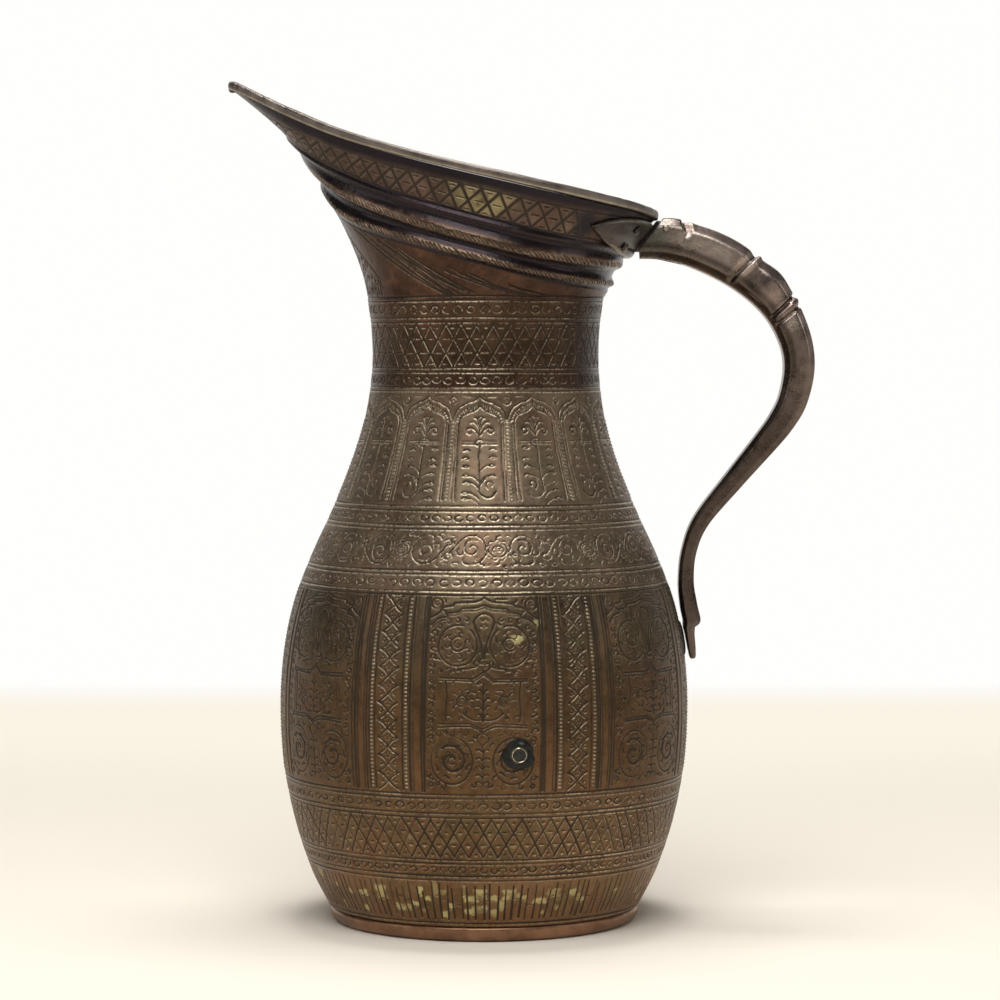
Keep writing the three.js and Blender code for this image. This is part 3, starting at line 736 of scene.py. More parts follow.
def flutes(wall, low, high, count):
    """Upright cuts round the foot of the belly, with brassy wear on the strips between them."""
    pitch = 360 / count
    hand = wall.hand
    feet = (np.arange(count + 1) + hand.uniform(-0.17, 0.17, count + 1)) * pitch
    feet[-1] = feet[0] + 360
    for k in range(count):
        lean = hand.normal(0, 0.1) * pitch
        bottom, top = low + abs(hand.normal(0, 0.5)), high - abs(hand.normal(0, 1.1))
        places = [(feet[k] + lean * s, bottom + (top - bottom) * s) for s in np.linspace(0, 1, 6)]
        wall.stroke(places, hand.uniform(0.34, 0.5), hand.uniform(0.9, 1.35), hand.uniform(0.24, 0.4))
        middle, half = (feet[k] + feet[k + 1]) / 2 + lean / 2, (feet[k + 1] - feet[k]) / 2
        step = hand.uniform(12.0, 17.2)
        wide = wall.wide[wall.nearest(middle, step)]
        reach = half * 0.66
        wall.stroke([(middle - reach, step), (middle + reach, step + hand.normal(0, 0.3))], 0.34, 0.8)
        near = math.exp(-((apart(middle, -4) / 42) ** 2))
        bar = hand.uniform(0.8, 1.9) * (1.3 if hand.random() < 0.3 else 1)
        amount = hand.uniform(0.3, 0.8) + 0.5 * near
        full = half * wide * hand.uniform(0.8, 1.15) * (2.1 if hand.random() < 0.3 * near else 1)
        if hand.random() < 0.14 + 0.7 * near:
            wall.patch(wall.brass, middle, step + bar * 0.7, full, bar, amount, 0.2, 6)
        if hand.random() < 0.05 + 0.4 * near:
            tall = hand.uniform(0.9, 2.2)
            wall.patch(wall.brass, middle, step + tall + 1.5, full, tall, amount, 0.3, 5)
        if hand.random() < 0.03 + 0.5 * near:
            bottom = hand.uniform(9.8, 12.5)
            wall.patch(wall.brass, middle, bottom, full, hand.uniform(0.8, 2.0), amount, 0.2, 6)
        if hand.random() < 0.5:
            amount = hand.uniform(0.3, 1)
            wall.patch(wall.bare, middle, low + 1.5, half * wide * 0.95, step - low - 1, amount, 0.4)


def scroll_unit(wall, bearing, level):
    """A lobed rosette and the two leafy scrolls that wind away from it."""
    pen = Pen(wall, bearing, level)
    pen.turn *= 0.5
    for k in range(9):
        turn = k * 40 + 12
        pen.line(arc(*around(0, 0, 3.55, turn, 3.05), 0.95, turn - 80, turn + 80), half=0.32)
    pen.ring(0, 0, 3.0, half=0.34, squash=0.86)
    pen.ring(0, 0, 1.95, half=0.32, squash=0.82)
    for y in (-0.45, 0.45):
        pen.line([(-0.9, y), (-0.4, y + 0.35), (0.1, y - 0.1), (0.5, y + 0.3), (0.95, y)], half=0.3)
    for side in (1, -1):
        pen.mirror = side
        scroll(pen, side * (1 if wall.hand.random() < 0.75 else -1))
    pen.mirror = 1
    pen.line(bend((-0.6, 4.1), (-0.2, 5.6), (1.2, 5.2), steps=4), half=0.36)
    pen.line(bend((0.4, -4.0), (0.9, -5.6), (-0.8, -5.5), steps=4), half=0.36)


def scroll(pen, up):
    """One leafy scroll beside a rosette, upright or, where up is -1, upside down."""

    def turned_over(*places):
        return [(x, y * up) for x, y in places]

    stem = turned_over((4.3, -1.2), (5.2, -7.2), (13.4, -7.8), (14.4, -0.6), (17.2, 1.6))
    pen.line(bend(*stem, steps=12), half=0.36, deep=1.0)
    pen.line(arc(9.2, 0.2 * up, 5.2, 62 * up, 172 * up), half=0.36)
    pen.line(curl(9.0, -0.6 * up, 3.5, -120 * up, 1.25 * up, 0.22), half=0.38, deep=1.05, end=0.46)
    pen.line(curl(12.9, 0.9 * up, 1.7, -60 * up, 0.8 * up, 0.4), half=0.36)
    pen.line(bend(*turned_over((9.9, 5.4), (11.6, 5.6), (12.6, 4.2), (11.7, 3.2))), half=0.36)
    pen.ring(17.2, 2.3 * up, 1.5, half=0.36, squash=0.8)
    pen.dot(17.2, 2.3 * up, 0.42)
    for x, y, toward, length, half in (
        (5.4, 3.2, 60, 2.2, 0.46),
        (6.4, 4.9, 160, 1.9, 0.42),
        (13.2, 5.2, -25, 2.2, 0.46),
        (5.0, -4.7, -140, 1.8, 0.42),
        (10.6, -4.6, 130, 1.4, 0.4),
        (14.9, -4.4, 25, 2.2, 0.46),
        (7.2, 2.3, 60, 1.5, 0.4),
        (15.3, -1.8, -80, 1.5, 0.4),
    ):
        pen.leaf(x, y * up, toward * up, length, half)
    pen.line(turned_over((15.6, -5.2), (17.4, -5.4)), half=0.34, deep=0.8)
    pen.line(arc(14.9, 4.9 * up, 1.0, 200 * up, 20 * up), half=0.34)
    pen.dot(4.4, 5.4 * up, 0.4)
    pen.dot(7.4, -5.6 * up, 0.36)


# Lines of the arches' heads, from the column to the point
ARCH_LOW = [
    (8.0, 10.3), (7.2, 11.9), (6.2, 12.6), (4.9, 13.2), (4.0, 13.6), (2.5, 14.0), (1.2, 14.8),
    (0, 16.1),
]
ARCH_MIDDLE = [(8.3, 12.2), (7.2, 13.9), (5.4, 14.9), (4.4, 15.7), (2.4, 16.1), (1.0, 16.9), (0, 18.0)]
ARCH_TOP = [(9.4, 13.4), (7.9, 15.6), (5.9, 16.5), (4.8, 17.3), (2.8, 17.7), (1.2, 18.4), (0, 19.6)]


def bay(wall, bearing, number):
    """A cusped arch on ladder columns, with a plant under it."""
    pen = Pen(wall, bearing, 172.0)
    pen.turn *= 0.25
    arch(pen, 180 / bpy.context.scene.ewer_sizes.bay_count * pen.wide)
    pen.mirror = 1 if number % 3 else -1
    palmette(pen, (1.5, 2.1, 1.2)[number % 3])
    plant(pen)


def arch(pen, edge):
    """The head and the columns of a bay, with short strokes between two of the head's lines."""
    field = edge - 2.55
    side = [(field, y) for y in np.linspace(-18.4, 9.0, 7)]
    side += [(field - 0.35, 10.9), (field - 1.3, 12.3), (4.6, 13.2), (2.6, 13.9), (1.3, 14.6), (0, 16.0)]
    pen.both(side)
    for x in (edge - 1.45, edge + 1.45):
        pen.line([(x, y) for y in np.linspace(-18.4, 9.4, 8)], half=0.34)
    low, middle = np.array(ARCH_LOW), np.array([(edge - 1.3, 10.1), *ARCH_MIDDLE])
    pen.both(middle, half=0.38, deep=0.9)
    pen.both([(edge - 0.3, 11.0), *ARCH_TOP], deep=1.0)
    for flip in (1, -1):
        for share in np.linspace(0.04, 0.97, 12):
            at = share * (len(low) - 1)
            i = min(int(at), len(low) - 2)
            a, b = (line[i] + (line[i + 1] - line[i]) * (at - i) for line in (low, middle))
            pen.line(np.array([a + (b - a) * 0.18, b - (b - a) * 0.1]) * (flip, 1), half=0.34)
    pen.ring(edge, 17.9, 1.35)
    pen.dot(edge, 17.9, 0.48)
    pen.both([(3.4, 19.5), (6.6, 19.6)], half=0.34, deep=0.8)


def palmette(pen, wide):
    """A spray of leaves on a bar with an oval in its middle."""
    for y in (2.1, 3.0):
        pen.line([(-6.2, y), (-2.2, y + 0.1), (2.2, y - 0.1), (6.2, y)], half=0.36)
    pen.ring(0, 2.5, wide, half=0.4, squash=0.75)
    pen.dot(0, 2.5, 0.45)
    pen.line(bend((0.2, 3.6), (0.6, 7.0), (-0.7, 11.4)), half=0.36)
    pen.line(curl(-3.7, 6.9, 1.75, 60, 0.95, 0.3), end=0.5)
    pen.line(curl(3.7, 6.6, 1.6, 120, -0.85, 0.35), half=0.38, end=0.5)
    for root, x, y, lift in ((5.2, 4.4, 8.0, 2.2), (7.2, 3.4, 10.2, 1.6), (8.8, 1.9, 11.9, 1.0)):
        pen.both(bend((0.2, root), (x * 0.5, y + lift * 0.5), (x, y - 0.3), steps=4), half=0.34, end=0.52)
    pen.line(bend((-1.1, 11.6), (-0.4, 12.6), (0.5, 11.7), steps=4))


def plant(pen):
    """A swaying stem with a hooked root and leaves up both sides."""
    sway = pen.hand.uniform(-0.7, 0.7)
    pen.line(bend((0.1, 1.0), (sway, -4.5), (-sway, -10.5), (0.2, -15.2), steps=9), half=0.38, deep=1.05)
    root = bend((0.2, -15.2), (-1.2, -17.8), (-4.3, -18.2), (-5.1, -15.0), steps=8)
    pen.line(root, half=0.42, deep=1.1)
    pen.line(curl(-3.5, -12.6, 1.7, -60, 0.85, 0.3), half=0.42, deep=1.0)
    pen.line(bend((0.1, -13.4), (-1.0, -11.0), (-2.0, -10.6), steps=3), half=0.34)
    for k, y in enumerate((-17.6, -15.0, -12.0, -9.1, -6.1, -3.1, 0.2)):
        for flip in (1, -1):
            if flip < 0 and y < -11:
                continue
            x = flip * pen.hand.uniform(4.2, 4.9)
            rise = y + pen.hand.normal(0, 0.25)
            if k < 4 or (k == 4 and flip < 0):
                stalk = (0.1, rise - 2.4), (flip * 1.4, rise - 0.2), (x - flip * 1.1, rise + 0.1)
                pen.line(bend(*stalk, steps=4), half=0.36)
            tip = (x + flip, rise - 0.1)
            pen.line(bend((x - flip * 1.2, rise), (x, rise + 1.1), tip, steps=4), deep=1.1)
            pen.line(bend((x - flip, rise - 0.2), (x, rise - 0.7), tip, steps=3), half=0.3, deep=0.8)


def ladder(wall, bearing, low, high):
    """The two upright lines beside a column of beads."""
    for offset in (-1.25, 1.25):
        pen = Pen(wall, bearing, (low + high) / 2)
        pen.turn = 0
        tall = (high - low) / 2
        pen.line([(offset, y) for y in np.linspace(-tall, tall, 14)], half=0.42, deep=0.85)


def stripe(wall, left, right, low, high):
    """A plain upright strip between double lines."""
    middle = (low + high) / 2
    pen = Pen(wall, (left + right) / 2, middle)
    pen.turn = 0
    half = (right - left) / 2 * pen.wide
    rows = np.linspace(low - middle, high - middle, 14) * pen.tall
    for x in (-half, -half + 1.05, half - 1.05, half):
        deep = 1.1 if abs(x) == half else 0.85
        pen.line([(x, y) for y in rows], half=0.42, deep=deep)
    for _ in range(26):
        bearing = wall.hand.uniform(left + 0.2, right - 0.2)
        level = wall.hand.uniform(low, high)
        tall = wall.hand.uniform(3, 12)
        wall.patch(wall.bare, bearing, level, half * 0.55, tall, wall.hand.uniform(0.1, 0.5), 0.7)


def braid(wall, left, right, low, high):
    """A narrow upright lattice with a small flower in every gap."""
    centre = (left + right) / 2
    pen = Pen(wall, centre, (low + high) / 2)
    pen.turn = 0
    half = (right - left) / 2 * pen.wide - 0.5
    reach = (high - low) / 2 * pen.tall
    count = 11
    pitch = 2 * reach / count
    for k in range(count):
        y = -reach + (k + 0.5) * pitch
        for lean in (1, -1):
            wave = [(-half, y - lean * pitch / 2), (-half * 0.45, y - lean * pitch * 0.3), (0, y)]
            wave += [(half * 0.45, y + lean * pitch * 0.3), (half, y + lean * pitch / 2)]
            pen.line(wave, half=0.38, deep=0.9)
            pen.line([(x, v + 0.75) for x, v in wave[1:4]], half=0.28, deep=0.5)
        for turn in range(18, 360, 72):
            pen.dot(*around(0, y + pitch / 2, 0.85, turn), 0.4, 0.95)
        pen.dot(0, y + pitch / 2, 0.3, 0.7)
        for side in (1, -1):
            x = side * (half - 1.25)
            pen.line(curl(x, y, 0.85, 90, side * 0.7, 0.4), half=0.34, deep=0.9)
            pen.leaf(side * 2.0, y + pitch / 2 - 0.4, 90 - side * 60, 1.3, 0.38)
            pen.dot(side * 1.5, y, 0.34, 0.85)


# Lines of a panel, as distance from its middle and level, from the middle outwards
STEPPED_ARCH = [
    (0, 121.7), (1.7, 120.8), (3.6, 120.2), (8.4, 120.0), (11.0, 119.7), (11.5, 118.8),
    (15.4, 118.2), (16.4, 116.6), (20.2, 114.4),
]
INNER_ARCH = [
    (0, 119.2), (3.2, 118.2), (8.3, 117.9), (9.4, 116.8), (13.2, 116.3), (13.9, 115.0),
    (16.8, 114.4), (19.2, 112.2),
]
DROP = [
    (0, 116.4), (1.7, 116.0), (3.2, 114.9), (3.8, 113.3), (3.2, 111.2), (2.0, 108.9), (1.1, 106.3),
    (0.5, 103.4), (0.3, 101.0),
]
TABLET_HEAD = [(15.4, 94.4), (9.0, 94.3), (3.4, 94.2), (1.6, 95.6), (0, 96.6)]
TABLET_FOOT = [(15.4, 78.4), (9.0, 78.7), (4.2, 78.8), (1.8, 77.9), (0, 76.9)]
FOOT_SCROLL_OUT = 10.7
FOOT_SCROLL_LEVEL = 65.9
# Small curls round a foot scroll, as distance from its middle and level
FOOT_CURLS = [
    (0, 75.2), (-4.6, 75.4), (4.7, 75.0), (7.0, 72.4), (-8.0, 74.6), (-7.6, 57.6), (-3.2, 56.9),
    (3.0, 56.9), (7.4, 57.4), (8.3, 60.6),
]


def panel(wall, bearing):
    """A main panel: an arch over a drop and two roundels, a tablet of leaves and two scrolls."""
    pen = Pen(wall, bearing, 88.0)
    pen.turn *= 0.2
    for x in (21.3, 20.3):
        pen.both(pen.at(*((x, z) for z in np.linspace(55.6, 121.4, 14))), deep=0.9)
    panel_head(pen)
    for side in (1, -1):
        roundel(pen, side)
    knot(pen)
    for gap in (0, 0.95):
        for line in (TABLET_HEAD, TABLET_FOOT):
            pen.both(pen.at(*((x, z - gap) for x, z in line)), deep=1.0)
    pen.both(pen.at(*((14.2, z) for z in (93.0, 89, 85, 81, 78.9))), half=0.36, deep=0.7)
    tablet_foliage(pen)
    for side in (1, -1):
        foot_scroll(pen, side)
    foot_stem(pen)
    sprigs(pen)


def panel_head(pen):
    """The stepped arch with a small roundel over each shoulder, and the drop under it."""
    pen.both(pen.at(*STEPPED_ARCH), half=0.42, deep=1.0)
    pen.both(pen.at(*INNER_ARCH), half=0.42, deep=1.05)
    pen.both(pen.at(*((x - 0.2, z - 0.95) for x, z in INNER_ARCH)), half=0.34, deep=0.8)
    pen.both(pen.at((4.3, 121.3), (8.4, 121.2)), half=0.36, deep=0.9)
    for side in (1, -1):
        (x, y), = pen.at((side * 17.7, 119.4))
        pen.ring(x, y, 1.95)
        pen.line(curl(x, y, 1.0, 60, 0.9, 0.3), half=0.32, deep=0.85)
        for dx, dz, turn in ((-3.3, 0.2, 80), (-2.2, -2.2, 200), (1.9, -2.6, 260)):
            pen.leaf(x + side * dx, y + dz, 90 + side * (turn - 90), 1.7, 0.42)
    pen.both(pen.at(*DROP), half=0.42, deep=1.05)
    pen.line(pen.at((-1.4, 114.6), (-0.4, 113.7), (0.6, 114.6), (1.5, 113.8)), half=0.34, deep=0.8)
    pen.ring(*pen.at((0, 112.1))[0], 1.0, half=0.32, deep=0.75, squash=0.5)
    pen.both(bend(*pen.at((1.5, 110.6), (0.7, 108.8), (0.5, 106.6)), steps=4), half=0.3, deep=0.6)


def roundel(pen, side):
    """A round flower in an open ring with leaves round it."""
    (x, y), = pen.at((side * 9.3, 105.4))
    pen.line(arc(x, y, 6.95, 90 + side * 15, 90 - side * 322), half=0.44, deep=1.0)
    pen.line(arc(x, y, 6.1, 90 - side * 40, 90 - side * 190), half=0.32, deep=0.7)
    pen.ring(x, y + 0.5, 2.4)
    pen.ring(x, y + 0.5, 1.2, half=0.32, deep=0.85)
    pen.dot(x, y + 0.5, 0.4)
    for k in range(7):
        turn = 20 + k * 51.4 + pen.hand.uniform(-8, 8)
        petal = around(*around(x, y, 3.1, turn), 0.9, turn)
        pen.line(curl(*petal, 1.15, turn + 180, side * 0.62, 0.35), half=0.34, deep=0.85)
        pen.leaf(*around(x, y, 5.3, turn + 25), turn + 25 + side * 95, 1.6, 0.42)
    for k in range(6):
        turn = 90 - side * (130 + 34 * k)
        pen.leaf(*around(x, y, 7.9, turn), turn + side * 70, 1.6, 0.42)
    for x, y in pen.at((6.4, 114.2), (9.6, 113.8), (12.9, 113.4), (16.1, 111.6)):
        pen.line(curl(side * x, y, 1.0, 90, side * 0.75, 0.35), half=0.34, deep=0.85)


def knot(pen):
    """The knot under the drop, which ties the two roundels."""
    pen.ring(*pen.at((0.3, 100.2))[0], 2.0, squash=0.5)
    pen.ring(*pen.at((0.3, 98.4))[0], 1.8, half=0.4, squash=0.85)
    pen.dot(*pen.at((0.3, 98.3))[0], 0.5)
    pen.both(bend(*pen.at((2.2, 98.8), (4.4, 96.9), (7.4, 98.2), (9.0, 96.9)), steps=7), half=0.36, end=0.5)
    pen.both(bend(*pen.at((2.4, 100.2), (3.9, 100.6), (3.4, 98.8)), steps=4), half=0.34)


def foot_scroll(pen, side):
    """A leafy scroll in a ring at the foot of a panel."""
    (x, y), = pen.at((side * FOOT_SCROLL_OUT, FOOT_SCROLL_LEVEL))
    pen.ring(x, y, 7.1, half=0.44, deep=0.9, squash=1.14)
    pen.line(arc(x, y, 6.4, 40, 150, 1.12), half=0.32, deep=0.6)
    pen.line(curl(x, y, 5.6, 90 - side * 40, side * 1.25), half=0.46, deep=1.2, end=0.6)
    pen.ring(x, y, 1.2, half=0.34)
    for turn in range(15, 360, 45):
        pen.leaf(*around(x, y, 5.9, turn), turn - side * 110, 2.0, 0.56)
        pen.leaf(*around(x, y, 3.3, turn + math.degrees(0.4)), turn + side * 80, 1.5, 0.4)
    for dx, z in FOOT_CURLS:
        (x, y), = pen.at((side * (FOOT_SCROLL_OUT + dx), z))
        pen.line(curl(x, y, 1.15, 90 + 40 * side, side * 0.7, 0.35), half=0.34, deep=0.85, end=0.46)


def foot_stem(pen):
    """The leafy stem between the two foot scrolls."""
    pen.both(bend(*pen.at((0, 75.4), (2.4, 75.2), (2.6, 72.8), (0.3, 71.6)), steps=7), half=0.36)
    pen.line(pen.at((0, 71.6), (0.2, 66), (0, 57.0)), half=0.36)
    for z in (69.0, 66.0, 63.0, 60.2, 57.6):
        pen.both(bend(*pen.at((0, z), (1.0, z + 1.6), (2.2, z + 0.8)), steps=4), half=0.34, end=0.48)


def sprigs(pen):
    """Sprigs up both sides of a panel, and dots between the things at its foot."""
    for k, z in enumerate(np.arange(57.4, 111, 2.75)):
        for side in (1, -1):
            x = side * (18.0 + pen.hand.uniform(-0.3, 0.3))
            y = pen.at((x, z))[0][1]
            if 62 < z < 72:
                pen.dot(x + side * 0.9, y, 0.36)
            elif k % 2:
                pen.ring(x, y, 0.95, half=0.34, squash=0.7)
            else:
                pen.line(curl(x, y, 1.15, 200, side * 0.7, 0.4), half=0.34, end=0.46)
                pen.leaf(x - side * 0.3, y + 1.2, 90 + side * 40, 1.2, 0.38)
    for _ in range(40):
        x, z = pen.hand.uniform(-19, 19), pen.hand.uniform(56, 76)
        away = min(math.hypot(x - s * FOOT_SCROLL_OUT, z - FOOT_SCROLL_LEVEL) for s in (1, -1))
        if away > 8.8:
            pen.dot(*pen.at((x, z))[0], 0.3, 0.6)


def tablet_foliage(pen):
    """A leafy upright stem between two rosettes on bent stalks."""
    pen.line(pen.at((0, 79.6), (0, 85.0), (0, 92.8)), deep=1.05)
    for z, reach in ((81.6, 1.6), (84.4, 2.3), (87.2, 2.2), (90.0, 1.5)):
        leaf = bend(*pen.at((0, z - 1.2), (reach * 0.6, z + 1.2), (reach, z + 0.4)), steps=4)
        pen.both(leaf, half=0.38, deep=1.0, end=0.5)
    pen.both(bend(*pen.at((0.6, 80.2), (3.6, 79.4), (5.8, 81.2), (7.0, 82.6))), half=0.38)
    pen.both(bend(*pen.at((12.6, 79.6), (13.6, 84.0), (11.6, 89.0), (13.2, 93.0)), steps=8), half=0.36)
    for side in (1, -1):
        (x, y), = pen.at((side * 7.3, 86.5))
        pen.ring(x, y, 1.9, deep=1.05)
        pen.ring(x, y, 0.9, half=0.34)
        for turn in range(10, 370, 40):
            pen.leaf(*around(x, y, 2.5, turn), turn + 14, 1.6, 0.46)
        for dx, z, toward in ((3.4, 92.6, 60), (10.8, 92.4, 120), (10.6, 80.8, 40), (4.4, 90.2, 20)):
            (x, y), = pen.at((side * dx, z))
            pen.leaf(x, y, toward if side > 0 else 180 - toward, 1.7, 0.42)


# Bearings of the ornament, and of the spans that repeat in each quarter of the belly
ARCADE_START = -1.8
SCROLL_START = 4.6
PANEL_CENTRES = (0, 54, 126, 180, 234, 306)
STRIPES = [(16, 20), (33.3, 37), (69.6, 73.5), (86, 94)]
BEADS = [21.3, 31.6, 74.9, 84.6]
BRAIDS = [(23, 30), (76.5, 83)]
# Lowest and highest level of the stripes, braids and ladders
COLUMN_ENDS = (55.0, 121.6)


def four_ways(values):
    """Repeats spans or places of one quarter in all four, mirrored at the front and the sides."""
    made = []
    for value in values:
        span = value if isinstance(value, tuple) else (value, value)
        for base, sign in ((0, 1), (0, -1), (180, 1), (180, -1)):
            ends = sorted(base + sign * v for v in span)
            if not any(abs(apart(ends[0], m[0])) < 0.5 for m in made):
                made.append(ends)
    return made


# Node trees for shapes


class Tree:
    """A node tree that takes a shape, some values and a material."""

    def __init__(self, name, inputs):
        self.tree = bpy.data.node_groups.new(name, "GeometryNodeTree")
        sockets = self.tree.interface
        for way in ("OUTPUT", "INPUT"):
            sockets.new_socket("Geometry", in_out=way, socket_type="NodeSocketGeometry")
        for label, kind, default in inputs:
            socket = sockets.new_socket(label, in_out="INPUT", socket_type=kind)
            if default is not None:
                socket.default_value = default
        sockets.new_socket("Material", in_out="INPUT", socket_type="NodeSocketMaterial")
        self.entry = self.tree.nodes.new("NodeGroupInput").outputs
        self.end = self.tree.nodes.new("NodeGroupOutput")

    def add(self, kind, values=None, output=0, **settings):
        """Adds a node, settings first and then values or links of its inputs, and gives an output."""
        node = self.tree.nodes.new(kind)
        for label, value in settings.items():
            setattr(node, label, value)
        for place, value in (values or {}).items():
            if isinstance(value, bpy.types.NodeSocket):
                self.tree.links.new(value, node.inputs[place])
            else:
                node.inputs[place].default_value = value
        return node.outputs[output]

    def sum(self, operation, a, b):
        return self.add("ShaderNodeMath", {0: a, 1: b}, operation=operation)

    def attribute(self, label, kind="FLOAT"):
        return self.add("GeometryNodeInputNamedAttribute", {"Name": label}, data_type=kind)

    def close(self, shape):
        """Makes the shape real and gives it the material."""
        real = self.add("GeometryNodeRealizeInstances", {0: shape})
        painted = self.add("GeometryNodeSetMaterial", {0: real, "Material": self.entry["Material"]})
        self.tree.links.new(painted, self.end.inputs[0])
        return self.tree


def chased_tree():
    """Sinks the chased lines into a wall, and gives the sheet its hammered unevenness."""
    name = "Chased wall"
    if name in bpy.data.node_groups:
        return bpy.data.node_groups[name]
    sizes = [("Cut depth", 0.00025), ("Hammer height", 0.0002), ("Hammer size", 90.0)]
    tree = Tree(name, [(label, "NodeSocketFloat", default) for label, default in sizes])
    entry = tree.entry
    place = tree.add("GeometryNodeInputPosition")
    noise = tree.add("ShaderNodeTexNoise", {"Vector": place, "Scale": entry["Hammer size"], "Detail": 2.0})
    uneven = tree.sum("MULTIPLY", tree.sum("SUBTRACT", noise, 0.5), entry["Hammer height"])
    sunk = tree.sum("MULTIPLY", tree.attribute("chased"), entry["Cut depth"])
    total = tree.sum("SUBTRACT", uneven, sunk)
    outward = tree.attribute("outward", "FLOAT_VECTOR")
    offset = tree.add("ShaderNodeVectorMath", {0: outward, "Scale": total}, operation="SCALE")
    return tree.close(tree.add("GeometryNodeSetPosition", {"Geometry": entry["Geometry"], "Offset": offset}))


def studded_tree():
    """Puts a copy of a small piece on each point, turned to the surface under it."""
    name = "Studded places"
    if name in bpy.data.node_groups:
        return bpy.data.node_groups[name]
    inputs = [("Stud", "NodeSocketObject", None), ("Least size", "NodeSocketFloat", 0.85)]
    tree = Tree(name, [*inputs, ("Seed", "NodeSocketInt", 3)])
    entry = tree.entry
    points = tree.add("GeometryNodeMeshToPoints", {"Mesh": entry["Geometry"]})
    stud = tree.add("GeometryNodeObjectInfo", {"Object": entry["Stud"]}, "Geometry")
    up, across = (tree.attribute(label, "FLOAT_VECTOR") for label in ("outward", "across"))
    align = "FunctionNodeAlignRotationToVector"
    stand = tree.add(align, {"Vector": up}, axis="Z")
    turn = tree.add(align, {"Rotation": stand, "Vector": across}, axis="X", pivot_axis="Z")
    spread = {2: entry["Least size"], 3: 1.1, "Seed": entry["Seed"]}
    size = tree.add("FunctionNodeRandomValue", spread, 1, data_type="FLOAT")
    values = {"Points": points, "Instance": stud, "Rotation": turn, "Scale": size}
    return tree.close(tree.add("GeometryNodeInstanceOnPoints", values))


def studded(name, stud, places, outward, across, material, least=0.85):
    """One piece made of copies of a stud at places on a surface."""
    thing = mesh_object(name, places, np.zeros((0, 4), int), {"outward": outward, "across": across})
    baked(thing, studded_tree(), Stud=stud, Material=material, **{"Least size": least})
    thing.data.polygons.foreach_set("use_smooth", np.ones(len(thing.data.polygons), bool))
    bpy.data.objects.remove(stud)
    return thing


# Materials


class Wire:
    """One socket of a material, so that shader sums read as ordinary arithmetic."""

    def __init__(self, paint, socket):
        self.paint, self.socket = paint, socket

    def __add__(self, other):
        return self.paint.sum("ADD", self, other)

    def __sub__(self, other):
        return self.paint.sum("SUBTRACT", self, other)

    def __rsub__(self, other):
        return self.paint.sum("SUBTRACT", other, self)

    def __mul__(self, other):
        return self.paint.sum("MULTIPLY", self, other)

    __radd__ = __add__
    __rmul__ = __mul__

    def between(self, low, high):
        """0 below the first value, 1 above the second, smooth between them."""
        return self.paint.node(
            "ShaderNodeMapRange",
            {0: self, 1: low, 2: high, 3: 0.0, 4: 1.0},
            interpolation_type="SMOOTHSTEP",
        )


class Paint:
    """A material's nodes."""

    def __init__(self, name):
        self.material = bpy.data.materials.new(name)
        self.material.use_nodes = True
        self.nodes = self.material.node_tree.nodes
        self.links = self.material.node_tree.links
        self.shader = self.nodes["Principled BSDF"]
        self.places = self.node("ShaderNodeTexCoord", output="Object")

    def put(self, socket, value):
        if isinstance(value, Wire):
            self.links.new(value.socket, socket)
        else:
            socket.default_value = value

    def node(self, kind, values=None, output=0, **settings):
        made = self.nodes.new(kind)
        for label, value in settings.items():
            setattr(made, label, value)
        for place, value in (values or {}).items():
            self.put(made.inputs[place], value)
        return Wire(self, made.outputs[output])

    def sum(self, operation, *values):
        return self.node("ShaderNodeMath", dict(enumerate(values)), operation=operation)

    def field(self, label):
        return self.node("ShaderNodeAttribute", output="Fac", attribute_name=label)

    def noise(self, scale, detail=3.0, rough=0.55, stretch=None):
        places = self.places
        if stretch:
            places = self.node("ShaderNodeMapping", {"Vector": places, "Scale": stretch})
        values = {"Vector": places, "Scale": scale, "Detail": detail, "Roughness": rough}
        return self.node("ShaderNodeTexNoise", values)

    def along(self, axis):
        """The place in metres along X, Y or Z."""
        return self.node("ShaderNodeSeparateXYZ", {0: self.places}, output=axis)

    def blend(self, share, low, high, kind="MIX"):
        low, high = (v if isinstance(v, Wire) else (*v, 1.0)[:4] for v in (low, high))
        values = {0: share, 6: low, 7: high}
        return self.node("ShaderNodeMix", values, output=2, data_type="RGBA", blend_type=kind)

    def bump(self, height, distance, strength=1.0, under=None):
        values = {"Height": height, "Distance": distance, "Strength": strength}
        if under:
            values["Normal"] = under
        return self.node("ShaderNodeBump", values)

    def shade(self, *values):
        """Sets colour, roughness, metal and normal of the surface, as many as are given."""
        for label, value in zip(("Base Color", "Roughness", "Metallic", "Normal"), values):
            self.put(self.shader.inputs[label], value)
        return self.material


